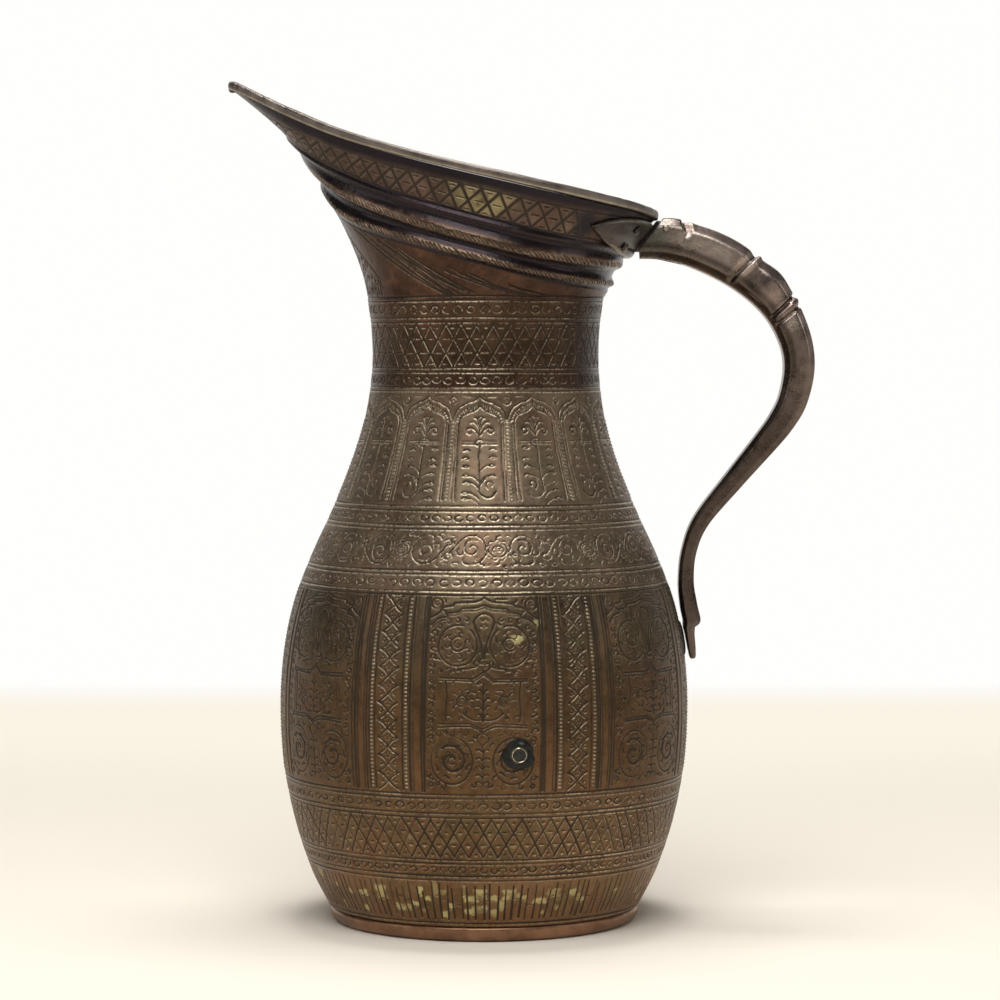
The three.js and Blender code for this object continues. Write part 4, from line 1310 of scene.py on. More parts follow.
def aged_copper(name, dark, light, bare=None, shine=0.0, low_copper=0.0, fine=0.0, grey_from=None):
    """Brown patina over copper, black in the cuts, with painted highlights on the cuts' lower lips,
    blackening that is partly painted shade and, where asked, a painted grey sheen higher up.
    """
    if name in bpy.data.materials:
        return bpy.data.materials[name]
    colours = bpy.context.scene.ewer_finish
    paint = Paint(name)
    broad = paint.noise(20.0, 5.0, 0.6)
    mottle = paint.noise(150.0, 4.0, 0.6)
    grain = paint.noise(1100.0, 2.0, 0.5)
    cloud = paint.noise(62.0, 3.0, 0.6)
    rubbed = paint.noise(60.0, 3.0, 0.6, (1.0, 1.0, 5.0))
    core = paint.field("line").between(0.56 + fine, 0.88 + fine * 0.5)
    # The cuts' lower lips, where a painted highlight goes
    edge = paint.field("lip").between(0.55, 0.86) * (1 - core) * paint.field("rub")
    speckle = paint.noise(520.0, 3.0, 0.6)
    tone = (broad * 0.6 + mottle * 0.34 + speckle * 0.3 + grain * 0.2).between(0.5, 0.94)
    colour = paint.blend(tone, dark, light)
    # Clouds of a redder and of a greener skin
    colour = paint.blend(cloud.between(0.5, 0.66) * 0.5, colour, (1.1, 0.88, 0.86), "MULTIPLY")
    colour = paint.blend((1 - cloud).between(0.5, 0.64) * 0.5, colour, (0.94, 1.0, 0.86), "MULTIPLY")
    # A painted grey sheen over the part above a height
    if grey_from:
        grey = paint.along("Z").between(grey_from - 0.012, grey_from + 0.02)
        colour = paint.blend(grey, colour, (0.9, 1.08, 1.3), "MULTIPLY")
    copper = tuple(bare or colours.bare_copper)
    low = 1 - paint.along("Z").between(0.012, 0.09)
    patches = mottle.between(0.5, 0.64) * broad.between(0.44, 0.6)
    colour = paint.blend(patches * 0.2 + low * rubbed.between(0.35, 0.65) * low_copper, colour, copper)
    colour = paint.blend(paint.field("bare") * rubbed.between(0.25, 0.6) * 0.6, colour, copper)
    # Painted highlight on the cuts' lower lips
    colour = paint.blend(edge * grain.between(0.34, 0.62) * 0.8, colour, tuple(colours.wear_and_glint))
    colour = paint.blend(core * 0.84, colour, tuple(colours.groove))
    brass = paint.field("brass") * (0.3 + mottle.between(0.4, 0.52) * 0.7)
    colour = paint.blend(brass * (1 - core), colour, tuple(colours.brass))
    # This field blackens real stains and also paints shade in hollows, under the lip and on one side of the
    # neck
    stain = paint.field("stain")
    colour = paint.blend(stain, colour, tuple(colours.stain))
    rough = 0.38 - shine + tone * 0.1 + core * 0.14 - edge * 0.06 + (grain - 0.5) * 0.14
    metal = 0.96 - core * 0.3 - stain * 0.1
    relief = paint.bump(1 - core, 0.00013, 1.0)
    relief = paint.bump(paint.noise(340.0, 2.0), 0.0002, 0.8, relief)
    relief = paint.bump(grain, 0.00005, 0.7, relief)
    scratches = paint.noise(500.0, 2.0, 0.6, (0.12, 0.12, 1.6))
    relief = paint.bump(scratches, 0.00003, 0.5, relief)
    return paint.shade(colour, rough, metal, relief)


def plain_metal(name, dark, light, rough=0.4, metal=0.95, spots=None, pits=0.00005, rub=None):
    """A piece with no chasing: a mottled skin, fine scratches and a few spots of another colour."""
    if name in bpy.data.materials:
        return bpy.data.materials[name]
    colours = bpy.context.scene.ewer_finish
    paint = Paint(name)
    broad = paint.noise(55.0, 5.0, 0.6)
    mottle = paint.noise(260.0, 4.0, 0.6)
    grain = paint.noise(1300.0, 2.0, 0.5)
    tone = (broad * 0.7 + mottle * 0.45).between(0.36, 0.78)
    colour = paint.blend(tone, dark, light)
    metallic = metal
    if spots:
        # The stain field gives the spots colour: real stains, painted shade on the saddle's upper half and a
        # painted highlight on the solder
        where = paint.field("stain") * 0.9 + mottle.between(0.6, 0.68) * broad.between(0.5, 0.62) * 0.35
        where = where.between(0.0, 1.0)
        colour = paint.blend(where, colour, spots)
        metallic = metal - where * 0.45
    # The worn field is rubbed wear and, on the handle, painted sheen and highlights; the chased field is dirt
    # and, on the lip and the handle, painted shade
    worn = paint.field("worn") * (0.7 + mottle.between(0.4, 0.6) * 0.3)
    colour = paint.blend(worn * 0.8, colour, rub or tuple(colours.wear_and_glint))
    colour = paint.blend(paint.field("chased") * 0.85, colour, tuple(colours.groove))
    roughness = rough + (tone - 0.5) * 0.14 + (grain - 0.5) * 0.14 - worn * 0.08
    relief = paint.bump(mottle, pits * 3, 0.8)
    relief = paint.bump(grain, pits, 0.7, relief)
    scratches = paint.noise(420.0, 2.0, 0.6, (0.15, 1.4, 0.15))
    relief = paint.bump(scratches, 0.00003, 0.5, relief)
    return paint.shade(colour, roughness, metallic, relief)


# Settings


def size_setting(label, about, default):
    return bpy.props.FloatProperty(name=label, description=about, default=default, unit="LENGTH", precision=5)


def count_setting(label, about, default):
    return bpy.props.IntProperty(name=label, description=about, default=default)


def colour_setting(label, about, default):
    return bpy.props.FloatVectorProperty(
        name=label, description=about, default=default, subtype="COLOR", min=0, max=1
    )


class EwerSizes(bpy.types.PropertyGroup):
    """Sizes of the chasing and of the hammer marks."""

    cut_depth: size_setting("Cut depth", "Depth of a full chased line", 0.00022)
    hammer_height: size_setting("Hammer height", "Unevenness left by raising the sheet", 0.00028)
    bead_width: size_setting("Bead width", "Width of a bead in the ladder columns", 0.0013)
    flute_count: count_setting("Flutes", "Upright cuts round the foot", 150)
    bay_count: count_setting("Bays", "Arches round the shoulder", 14)
    scroll_count: count_setting("Rosettes", "Rosettes round the scroll band", 11)


class EwerFinish(bpy.types.PropertyGroup):
    """Colours of the copper, the wear and the stains."""

    patina_dark: colour_setting("Dark patina", "Thick brown skin", (0.056, 0.039, 0.024))
    patina_light: colour_setting("Light patina", "Thin brown skin", (0.145, 0.108, 0.072))
    bare_copper: colour_setting("Bare copper", "Where the skin has worn through", (0.22, 0.108, 0.05))
    # Colour of rubbed wear on the plain pieces and of the painted highlight on the cuts' lower lips
    wear_and_glint: colour_setting("Worn edge", "Rubbed edges of the cuts", (0.66, 0.56, 0.4))
    groove: colour_setting("Groove", "Dirt in the cuts", (0.022, 0.015, 0.008))
    brass: colour_setting("Brassy wear", "Yellow rubbed places", (0.52, 0.45, 0.21))
    # Also the colour of painted shade in the collar's hollows, under the lip and on the neck's side towards
    # the handle
    stain: colour_setting("Stain", "Blackened copper in hollows and round solder", (0.02, 0.015, 0.018))


# Pieces


def body_metal(name, tint, **how):
    """The vessel's brown skin, a little redder, darker or greyer from band to band, and lighter on the
    shoulder as painted light.
    """
    colours = bpy.context.scene.ewer_finish
    low, high = (tuple(a * b for a, b in zip(c, tint)) for c in (colours.patina_dark, colours.patina_light))
    return aged_copper(name, low, high, **how)


def bead_places(columns):
    """Places for beads up the body, with the directions out of it and round it."""
    bearings, levels = [], []
    for bearing, low, high, pitch in columns:
        levels.append(np.arange(low + pitch / 2, high, pitch))
        bearings.append(np.full_like(levels[-1], bearing))
    bearings, levels = np.concatenate(bearings), np.concatenate(levels)
    across = body_point(bearings + 0.1, levels) - body_point(bearings - 0.1, levels)
    across /= np.linalg.norm(across, axis=-1, keepdims=True)
    return body_point(bearings, levels), normal_of(body_point, bearings, levels), across


def bead_stud(width):
    """A small flattened bead that sits half in the surface."""
    rings, columns = 4, 8
    rise = np.linspace(-math.pi / 2, math.pi / 2, rings + 1)[:, None]
    turn = np.arange(columns)[None, :] * 2 * math.pi / columns
    half = width / MM / 2
    x = half * np.cos(rise) * np.cos(turn)
    y = half * 0.6 * np.cos(rise) * np.sin(turn)
    z = 0.24 * np.sin(rise) + 0 * turn
    points = np.stack([x, y, z], -1).reshape(-1, 3)
    return merged(mesh_object("bead", points, ring_faces(rings + 1, columns, False)))


def bead_columns(name, node, width, columns):
    """Columns of rubbed beads, from bearing, lowest and highest level and pitch."""
    colours = bpy.context.scene.ewer_finish
    dark = tuple(0.8 * v for v in colours.patina_light)
    pale = tuple(0.6 * v for v in colours.wear_and_glint)
    metal = plain_metal("Rubbed beads", dark, pale, 0.34)
    finish(studded(name, bead_stud(width), *bead_places(columns), metal), node)


class EWER_OT_belly(bpy.types.Operator):
    """Make the belly: flutes, lattice and the tall panels"""

    bl_idname = "ewer.belly"
    bl_label = "Belly"

    def execute(self, context):
        sizes = context.scene.ewer_sizes
        self.fluted_band(sizes.flute_count)
        self.lattice_band()
        self.panels()
        columns = [(bearing, 55.4, 121.2, 1.32) for bearing, _ in four_ways(BEADS)]
        bead_columns("belly_bead_columns", "belly_shell", sizes.bead_width, columns)
        return {"FINISHED"}

    def fluted_band(self, count):
        """Upright cuts above the foot."""
        metal = body_metal("Fluted copper", (1.7, 1.42, 1.16), low_copper=0.3)
        wall = Wall(body_point, FLUTES_FOOT, LATTICE_FOOT, 44, 1350, 11)
        # Weak painted highlights on the cuts' lower lips
        wall.rub[:] = 0.3
        wall.ring(7.0, 0.55, 1.0)
        wall.ring(23.1, 0.5, 0.95)
        flutes(wall, 8.3, 22.2, count)
        wall.piece("belly_fluted_band", "belly_shell", metal, strips=5)

    def lattice_band(self):
        """A lattice between two rows of ovals, with a little brassy wear."""
        metal = body_metal("Lower belly copper", (1.1, 0.95, 0.78), low_copper=0.35)
        wall = Wall(body_point, LATTICE_FOOT, PANELS_FOOT, 70, 1056, 12)
        for level in (24.7, 29.2, 30.7, 45.8, 47.3, 52.6):
            wall.ring(level)
        oval_row(wall, 25.3, 28.7, 118, 0.5)
        # Painted highlights on the cuts' lower lips, strongest round bearing 40
        wall.rub[:] = 0.35 + 0.45 * dome(apart(wall.bearings, 40) / 45)
        lattice(wall, steady(31.6), steady(45.1), 84, half=0.44, dash=0.16, spark=0.6, light=0.72)
        oval_row(wall, 48.1, 51.7, 106)
        for _ in range(16):
            place = wall.hand.uniform(-60, 60), wall.hand.uniform(33, 44)
            wall.patch(wall.brass, *place, 1.6, 1.3, 0.22, 0.9)
        wall.piece("belly_lattice_band", "belly_shell", metal)

    def panels(self):
        """Panels between strips, braids and ladders, worn here and there, in three pieces."""
        # The panels get a painted grey sheen above 94 mm
        metal = body_metal("Belly copper", (1.08, 0.87, 0.67), low_copper=0.3, fine=-0.05, grey_from=0.094)
        wall = Wall(body_point, PANELS_FOOT, SHOULDER_FOOT, 198, 1240, 13)
        wall.ring(54.0)
        wall.ring(122.3)
        for left, right in four_ways(STRIPES):
            stripe(wall, left, right, *COLUMN_ENDS)
        for left, right in four_ways(BRAIDS):
            braid(wall, left, right, *COLUMN_ENDS)
        for bearing, _ in four_ways(BEADS):
            ladder(wall, bearing, *COLUMN_ENDS)
        for bearing in PANEL_CENTRES:
            panel(wall, bearing)
            sprinkle(wall, (bearing - 15.6, bearing + 15.6), (57.0, 120.5), 1500, 0.75)
        # Painted highlights on the cuts' lower lips, full on the braids
        wall.rub[:] = 0.36
        for left, right in four_ways(BRAIDS):
            wall.rub[:, (wall.bearings - left) % 360 < right - left] = 1.0
        fade = 1 - 0.75 * ease(wall.levels, 84, 112)
        wall.bare *= fade[:, None]
        wall.patch(wall.stain, REPAIR_BEARING, REPAIR_HEIGHT + 0.6, 6.0, 7.2, 0.95, 0.5)
        wall.patch(wall.stain, 31, 119.5, 2.2, 3.0, 0.7, 0.6)
        wall.patch(wall.brass, 9.4, 107.4, 2.6, 2.0, 0.9)
        wall.patch(wall.brass, 15.5, 113, 1.6, 1.4, 0.8)
        for k, part in enumerate(("lower", "middle", "upper")):
            wall.piece(f"belly_panels_{part}", "belly_shell", metal, first=66 * k, last=66 * k + 66)


class EWER_OT_shoulder(bpy.types.Operator):
    """Make the shoulder: scroll band and arcade"""

    bl_idname = "ewer.shoulder"
    bl_label = "Shoulder"

    def execute(self, context):
        sizes = context.scene.ewer_sizes
        # The shoulder's tint is lighter, as painted light on its upward-facing slope
        metal = body_metal("Shoulder copper", (1.44, 1.44, 1.48), shine=-0.06, fine=0.1)
        wall = Wall(body_point, SHOULDER_FOOT, ARCADE_FOOT, 72, 960, 21)
        for level in (123.7, 129.2, 130.6, 144.6, 146.0, 150.8):
            wall.ring(level, 0.5, 1.1)
        oval_row(wall, 124.5, 128.5, 88)
        for k in range(sizes.scroll_count):
            scroll_unit(wall, SCROLL_START + k * 360 / sizes.scroll_count, 137.6)
        sprinkle(wall, (0, 360), (131.6, 143.6), 1600, 0.8)
        oval_row(wall, 146.7, 150.1, 82)
        wall.piece("shoulder_scroll_band", "belly_shell", metal)

        wall = Wall(body_point, ARCADE_FOOT, NECK_FOOT, 108, 832, 22)
        wall.ring(152.5, 0.5, 1.1)
        wall.ring(192.3)
        for k in range(sizes.bay_count):
            bay(wall, ARCADE_START + k * 360 / sizes.bay_count, k)
        wall.piece("shoulder_arcade", "neck_shell", metal, inner_rows=6, strips=3)

        pitch = 360 / sizes.bay_count
        columns = [(ARCADE_START + (k + 0.5) * pitch, 153.8, 181.2, 1.27) for k in range(sizes.bay_count)]
        bead_columns("shoulder_bead_columns", "neck_shell", 1.45 * sizes.bead_width, columns)
        return {"FINISHED"}


class EWER_OT_neck(bpy.types.Operator):
    """Make the neck and the throat"""

    bl_idname = "ewer.neck"
    bl_label = "Neck"

    def execute(self, context):
        metal = body_metal("Neck copper", (0.69, 0.55, 0.53), shine=0.03, fine=0.04)
        wall = Wall(body_point, NECK_FOOT, NECK_TOP, 80, 720, 31)
        # Painted highlights on the cuts' lower lips, strongest at the front left
        wall.rub *= 0.5 + 0.5 * dome(apart(wall.bearings, -22) / 42)
        # Painted shade on the neck's side towards the handle
        wall.stain[:] = 0.3 * dome((wall.bearings - 62) / 30)
        for level in (193.7, 198.9, 200.4, 216.5, 218.2, 224.0):
            wall.ring(level)
        oval_row(wall, 194.4, 198.1, 60)
        lattice(wall, steady(200.9), steady(215.9), 45)
        oval_row(wall, 219.0, 223.3, 58)
        wall.piece("neck_band", "neck_shell", metal, inner_rows=7, strips=3)

        metal = body_metal("Throat copper", (0.56, 0.41, 0.43), shine=0.07, fine=0.04)
        wall = Wall(throat_point, 0.0, 1.0, 60, 760, 32)
        # Weak painted highlights on the cuts' lower lips
        wall.rub[:] = 0.14
        along = NECK_TOP + (seam_height(wall.bearings) - NECK_TOP) * wall.levels[:, None]
        away = np.abs(along - 225.6 - wall.waver(0.1)) / 0.42
        wall.press(slice(None), slice(None), away, 1.0)
        throat_ornament(wall)
        wall.piece("throat_band", "neck_shell", metal, inner_rows=6, strips=3)
        return {"FINISHED"}


def throat_ornament(wall):
    """Fans of fine strokes at the front and the back, and a scrolled field under the beak."""
    throat_fans(wall)
    throat_scrolls(wall)
    for bearing in np.arange(-119, -60, 2.4):
        foot = 2.2 / (seam_height(bearing) - NECK_TOP)
        wall.stroke([(bearing, foot), (bearing + 0.6, foot * 2.2)], 0.38, 0.9)


def throat_fans(wall):
    """The scrolled field's edge and the fans beside it, the same at the front and the back."""
    edge = [(-60, 0.06), (-58.5, 0.16), (-58, 0.3), (-62, 0.42), (-70, 0.62), (-76, 0.8)]
    fans = [((-56, 0.95), (-20, 0.1), 7, 3.2), ((-44, 0.98), (-10, 0.2), 3, 4.6)]
    fans += [((-16, 0.66), (17, 0.2), 5, 2.4), ((12, 0.5), (34, 0.2), 3, 2.6)]
    for mirror in (1, -1):
        for offset in (0, 1.6):
            places = [((b + offset) if mirror > 0 else -180 - b - offset, s) for b, s in edge]
            wall.stroke(places, 0.36)
        for (b0, s0), (b1, s1), count, gap in fans:
            for k in range(count):
                start = b0 + k * gap + wall.hand.uniform(-0.8, 0.8)
                end = b1 + k * gap * 0.45 + wall.hand.uniform(-1.5, 1.5)
                rise = wall.hand.uniform(-0.06, 0.06)
                knee = start * 0.62 + end * 0.38, s0 * 0.5 + s1 * 0.5
                run = bend((start, s0 + rise), knee, (end, s1 + rise * 0.5), steps=8)
                places = [(b if mirror > 0 else -180 - b, s) for b, s in run]
                wall.stroke(places, 0.36, wall.hand.uniform(0.9, 1.3), 0.3)


def throat_scrolls(wall):
    """Curls, dots and three rosettes under the beak."""
    for side in (1, -1):
        for share, reach in ((0.16, 23), (0.16, 10), (0.36, 18), (0.36, 7), (0.56, 12), (0.74, 8)):
            pen = Pen(wall, -90 + side * reach, share, mirror=side)
            pen.line(curl(0, 0, 2.3, 200, 1.2), end=0.52)
            pen.line(curl(3.6, 2.4, 1.6, 20, -0.9, 0.3), half=0.38, end=0.5)
            pen.leaf(-2.6, 2.2, 130, 1.8, 0.46)
            pen.leaf(2.4, -2.4, -40, 1.9, 0.46)
            pen.leaf(-2.2, -2.6, 220, 1.6, 0.42)
            pen.ring(0.6, 3.9, 0.9, half=0.34)
            pen.dot(0.6, 3.9, 0.34)
        for share in (0.26, 0.46, 0.66):
            for reach in (4, 13, 21):
                if reach < 30 * (1 - share):
                    pen = Pen(wall, -90 + side * reach, share)
                    pen.dot(0, 0, 0.34, 0.8)
                    pen.dot(1.0, 0.8, 0.3, 0.7)
    for share in (0.3, 0.5, 0.7):
        pen = Pen(wall, -90, share, size=1.15 - 0.5 * share)
        pen.ring(0, 0, 2.5, half=0.4)
        pen.ring(0, 0, 1.3, half=0.36)
        pen.dot(0, 0)
        for turn in range(0, 360, 45):
            pen.leaf(*around(0, 0, 3.0, turn), turn + 25, 1.6, 0.46)


class EWER_OT_collar(bpy.types.Operator):
    """Make the flared collar with its rope ridges and lattice"""

    bl_idname = "ewer.collar"
    bl_label = "Collar"

    def execute(self, context):
        metal = body_metal("Collar copper", (0.56, 0.46, 0.5), shine=0.14, bare=(0.28, 0.195, 0.14))
        split = 0.56
        wall = Wall(collar_point, 0.0, split, 66, 1120, 41)
        # Weak painted highlights on the cuts' lower lips
        wall.rub[:] = 0.1
        for (crest, *_), count in zip(RIDGES, (186, 194)):
            rope(wall, crest, count)
        proud = ridge_height(wall.bearings[None, :], wall.levels[:, None])
        # Near-black painted shade in the hollows between the ridges
        wall.stain[:] = 0.96 * (1 - ease(proud, 0.7, 1.35))
        wall.bare[:] = ease(proud, 1.15, 1.65)
        wall.piece("collar_rope_ridges", "mouth_collar", metal, inner_rows=14, strips=4)

        metal = body_metal("Collar band copper", (0.92, 0.8, 0.92), shine=0.08, bare=(0.28, 0.195, 0.14))
        wall = Wall(collar_point, split, 1.0, 54, 1100, 42)

        def low(bearing):
            return blended(bearing, 0.62, 0.545, 0.6) + 0.012

        def high(bearing):
            return blended(bearing, 0.93, 0.86, 0.82)

        def clear(bearing):
            return abs(apart(bearing, 90)) > 50

        for line, deep in ((low, 1.1), (high, 0.95)):
            wall.ring(line(wall.bearings), 0.45, deep, 0.002)
        place = even_places(collar_point, lambda bearing: (low(bearing) + high(bearing)) / 2, 54)
        lattice(wall, low, high, 54, 2, half=0.6, dash=0.2, place=place, only=clear, light=1.2)
        # Weak painted highlights on the cuts' lower lips
        wall.rub[:] = 0.1
        # Painted shade: near black on the plain band under the lip's overhang, and in the hollow over the top
        # ridge
        share = wall.levels[:, None] - high(wall.bearings)
        wall.stain[:] = 0.72 * ease(share, 0.0, 0.025) + 0.28 * ease(share, 0.03, 0.07)
        wall.stain += 0.6 * (1 - ease(wall.levels[:, None], 0.57, 0.6))
        wall.patch(wall.brass, -3, 0.7, 18, 9, 0.4, 0.8)
        wall.cut *= 0.5
        for bearing in (38, 142):
            wall.patch(wall.stain, bearing, 0.75, 9, 10, 0.95, 0.8)
        for bearing in (55, 75, 90, 105, 125):
            wall.patch(wall.stain, bearing, 0.85, 16, 12, 0.8, 0.6)
        wall.piece("collar_lattice_band", "mouth_collar", metal, inner_rows=8, strips=4)
        return {"FINISHED"}


def rope(wall, crest, count):
    """Slanted strokes over a ridge, like the lay of a rope."""

    def level_at(bearing):
        return blended(bearing, *crest)

    place = even_places(collar_point, level_at, count)
    for k in range(count):
        bearing = float(place(k + wall.hand.uniform(-0.16, 0.16)))
        pen = Pen(wall, bearing, float(level_at(bearing)))
        reach = wall.hand.uniform(0.95, 1.45)
        strike = [(-reach, reach * 0.75), (0, 0.1), (reach, -reach * 0.7)]
        pen.line(strike, half=0.2, deep=1.1, end=0.36)


class EWER_OT_lining(bpy.types.Operator):
    """Make the tinned inner face of the vessel"""

    bl_idname = "ewer.lining"
    bl_label = "Lining"

    def execute(self, context):
        columns = 240
        bearing = np.arange(columns) * 360 / columns
        rows = [(body_point, z) for z in np.linspace(6.2, NECK_TOP, 32)]
        rows += [(throat_point, s) for s in np.linspace(0.12, 0.98, 8)]
        rows += [(collar_point, s) for s in np.linspace(0.03, 0.985, 26)]
        rings = [raised(surface, bearing, np.full(columns, at), -LINING_OUT, -WALL) for surface, at in rows]
        thing = mesh_object("tin_lining", *closed_ring(*np.array(rings).swapaxes(0, 1)))
        metal = plain_metal("Dull tin", (0.1, 0.085, 0.07), (0.27, 0.24, 0.2), 0.5, 0.85, (0.09, 0.07, 0.05))
        finish(thing, "belly_shell", metal=metal)
        return {"FINISHED"}


class EWER_OT_lip(bpy.types.Operator):
    """Make the rolled lip"""

    bl_idname = "ewer.lip"
    bl_label = "Lip"

    def execute(self, context):
        columns, steps = 900, 22
        hand = np.random.default_rng(51)
        bearing = np.arange(columns) * 360 / columns
        base, away = rim_frame(bearing)
        middle_out, half_out = (LIP_OUT - LIP_IN) / 2, (LIP_OUT + LIP_IN) / 2
        turn = np.arange(steps) * 2 * math.pi / steps
        out = middle_out + half_out * np.sign(np.cos(turn)) * np.abs(np.cos(turn)) ** 0.6
        up = LIP_HEIGHT / 2 * (1 + np.sign(np.sin(turn)) * np.abs(np.sin(turn)) ** 0.75)
        # A shallow groove runs along the outer face above its lower edge
        out = out - 0.15 * dome((up - 1.1) / 0.5) * (np.cos(turn) > 0)
        wave = np.zeros(columns)
        for waves in (5, 9, 14, 31):
            wave += np.sin(np.radians(bearing) * waves + hand.uniform(0, 6.28)) / waves
        dents = np.zeros(columns)
        for _ in range(34):
            place, reach = hand.uniform(0, 360), hand.uniform(0.8, 2.6)
            dents += hand.uniform(0.08, 0.3) * np.exp(-((apart(bearing, place) / reach) ** 2))
        out = out[:, None, None]
        points = base[None] + (out - 0.6 * dents[:, None] * (out > 0)) * away[None]
        tip = np.exp(-(((bearing - 270) / 2.4) ** 2))
        high = up[:, None] / LIP_HEIGHT
        points[..., 2] += LIP_HEIGHT * high * (1 - 0.12 * dents) + 0.5 * wave * high
        points[..., 2] -= (0.9 * tip + 0.15) * (1 - high)
        faces = ring_faces(steps, columns)[:, ::-1]
        rim = 0.6 * dome((up - 0.6) / 0.5) * (np.cos(turn) > 0) + 0.12 * dome((up - LIP_HEIGHT) / 0.8)
        worn = np.repeat(rim, columns)
        # The bottom of the lip is painted near black, as the shadow line under it
        chased = np.repeat(0.95 * dome(up / 0.4), columns)
        stain = np.tile(0.9 * tip, steps)
        fields = {"worn": worn, "chased": chased, "stain": stain}
        thing = mesh_object("lip_roll_piece", points.reshape(-1, 3), faces, fields)
        dark, light, spots = (0.085, 0.07, 0.062), (0.2, 0.168, 0.15), (0.1, 0.115, 0.09)
        metal = plain_metal("Lip metal", dark, light, 0.46, 0.95, spots)
        finish(thing, "lip_roll", "lip_roll", metal=metal)
        return {"FINISHED"}


class EWER_OT_foot(bpy.types.Operator):
    """Make the foot ring and the base plate"""

    bl_idname = "ewer.foot"
    bl_label = "Foot"

    def execute(self, context):
        dark, light, spots = (0.16, 0.088, 0.05), (0.36, 0.2, 0.118), (0.05, 0.034, 0.022)
        metal = plain_metal("Foot copper", dark, light, 0.38, 0.96, spots)
        shape = smooth_through([(0, 53.2), (0.6, 54.3), (1.6, 55.2), (3.0, 55.9), (4.6, 56.1), (5.3, 55.6)])
        outer = [(float(shape(z)), z) for z in np.linspace(0, 5.3, 15)]
        inner = [(54.6, 5.4), (55.5, 9.4), (54.2, 9.4), (52.4, 4.2), (49.85, 2.4)]
        ring = turned("foot_ring_piece", [(49.85, 0), (52, 0), *outer, *inner], 480)
        shifted(ring, self.dented)
        finish(ring, "foot_ring", "foot_ring", metal=metal)

        under = [(0, 0.35), (9, 0.3), (9.6, 0.1), (10.2, 0.3), (24, 0.25), (24.5, 0.05), (25, 0.25)]
        under += [(38, 0.15), (38.5, 0), (39, 0.15), (48.5, 0.1), (49.5, 0.5)]
        plate = turned("base_plate_piece", [*under, (49.5, 1.4), (30, 1.5), (0, 1.5)], 240)
        finish(plate, "base_plate", "base_plate", metal=metal)
        return {"FINISHED"}

    def dented(self, points):
        """Small dents in the outer face, at bearings and heights of their own."""
        hand = np.random.default_rng(61)
        turn = np.degrees(np.arctan2(points[:, 1], points[:, 0]))
        for _ in range(26):
            place, reach, level = hand.uniform(-180, 180), hand.uniform(0.5, 1.6), hand.uniform(0.001, 0.005)
            dent = np.exp(-((apart(turn, place) / reach) ** 2) - ((points[:, 2] - level) / 0.0012) ** 2)
            points[:, :2] *= 1 - (dent * hand.uniform(0.0008, 0.0035))[:, None]
        return points


def handle_shape(share):
    """Centre, direction, half depth and half width of the bar at shares of its length."""
    index = np.linspace(0, 1, len(HANDLE_STATIONS))
    x, z, depth, width = (smooth_through(list(zip(index, column))) for column in zip(*HANDLE_STATIONS))
    step = 1e-3
    along = np.stack([x(share + step) - x(share - step), z(share + step) - z(share - step)], -1)
    along /= np.linalg.norm(along, axis=-1, keepdims=True)
    return np.stack([x(share), z(share)], -1), along, depth(share), width(share)


# Cuts and beads on the bar: share of its length, reach before and after, height, slant down
# the sides, and between which shares down the sides (0 on the back, 2 on the inner face)
HANDLE_CUTS = [
    (0.121, 0.005, 0.024, -1.1, 0.028, -1, 0.62),
    (0.2965, 0.018, 0.005, -1.0, -0.008, -1, 1.75),
    (0.3045, 0.006, 0.009, 0.65, -0.008, -1, 1.75),
    (0.35, 0.045, 0.042, 0.85, 0.0, -1, 1.7),
    (0.396, 0.0055, 0.0055, -1.0, 0.006, -1, 1.7),
    (0.4055, 0.006, 0.006, 0.5, 0.006, -1, 1.7),
    (0.4155, 0.0055, 0.0055, -0.8, 0.006, -1, 1.7),
]
# Corners of the bar's section: shares of half width and of chamfer, of half depth and of chamfer
CORNERS = np.array(
    [
        (1, 0, 1, -1),
        (1, -1, 1, 0),
        (-1, 1, 1, 0),
        (-1, 0, 1, -1),
        (-1, 0, -1, 1),
        (-1, 1, -1, 0),
        (1, -1, -1, 0),
        (1, 0, -1, 1),
    ]
)
ALONG_FLAT = np.array([0.07, 0.2, 0.4, 0.6, 0.8, 0.93])[None, :, None]
OCTAGON = (CORNERS[:, None] + (np.roll(CORNERS, -1, 0) - CORNERS)[:, None] * ALONG_FLAT).reshape(-1, 4)


def handle_relief(share, side):
    """How far the cuts and beads stand out of the bar, and how deep the dirt lies in them."""
    out, dirt = 0 * share * side, 0 * share * side
    for at, before, after, height, slant, top, bottom in HANDLE_CUTS:
        gap = share - at - slant * side
        gap = np.clip(gap / np.where(gap < 0, before, after), -1, 1)
        swell = np.cos(gap * math.pi / 2) ** 2
        swell = swell * ease(side, top - 0.08, top + 0.08) * (1 - ease(side, bottom - 0.08, bottom + 0.08))
        out = out + height * swell
        if height < 0:
            dirt = np.maximum(dirt, swell**4)
    return out, dirt


def octagon_rings(centre, along, depth, width):
    """Rings of 48 points round the bar: eight flats with small rounded corners."""
    chamfer = HANDLE_CHAMFER * np.minimum(depth, width)
    across = OCTAGON[:, 0] * width + OCTAGON[:, 1] * chamfer
    up = OCTAGON[:, 2] * depth + OCTAGON[:, 3] * chamfer
    x = centre[..., 0] - along[..., 1] * up
    z = centre[..., 1] + along[..., 0] * up
    return np.stack([x, across, z], -1)


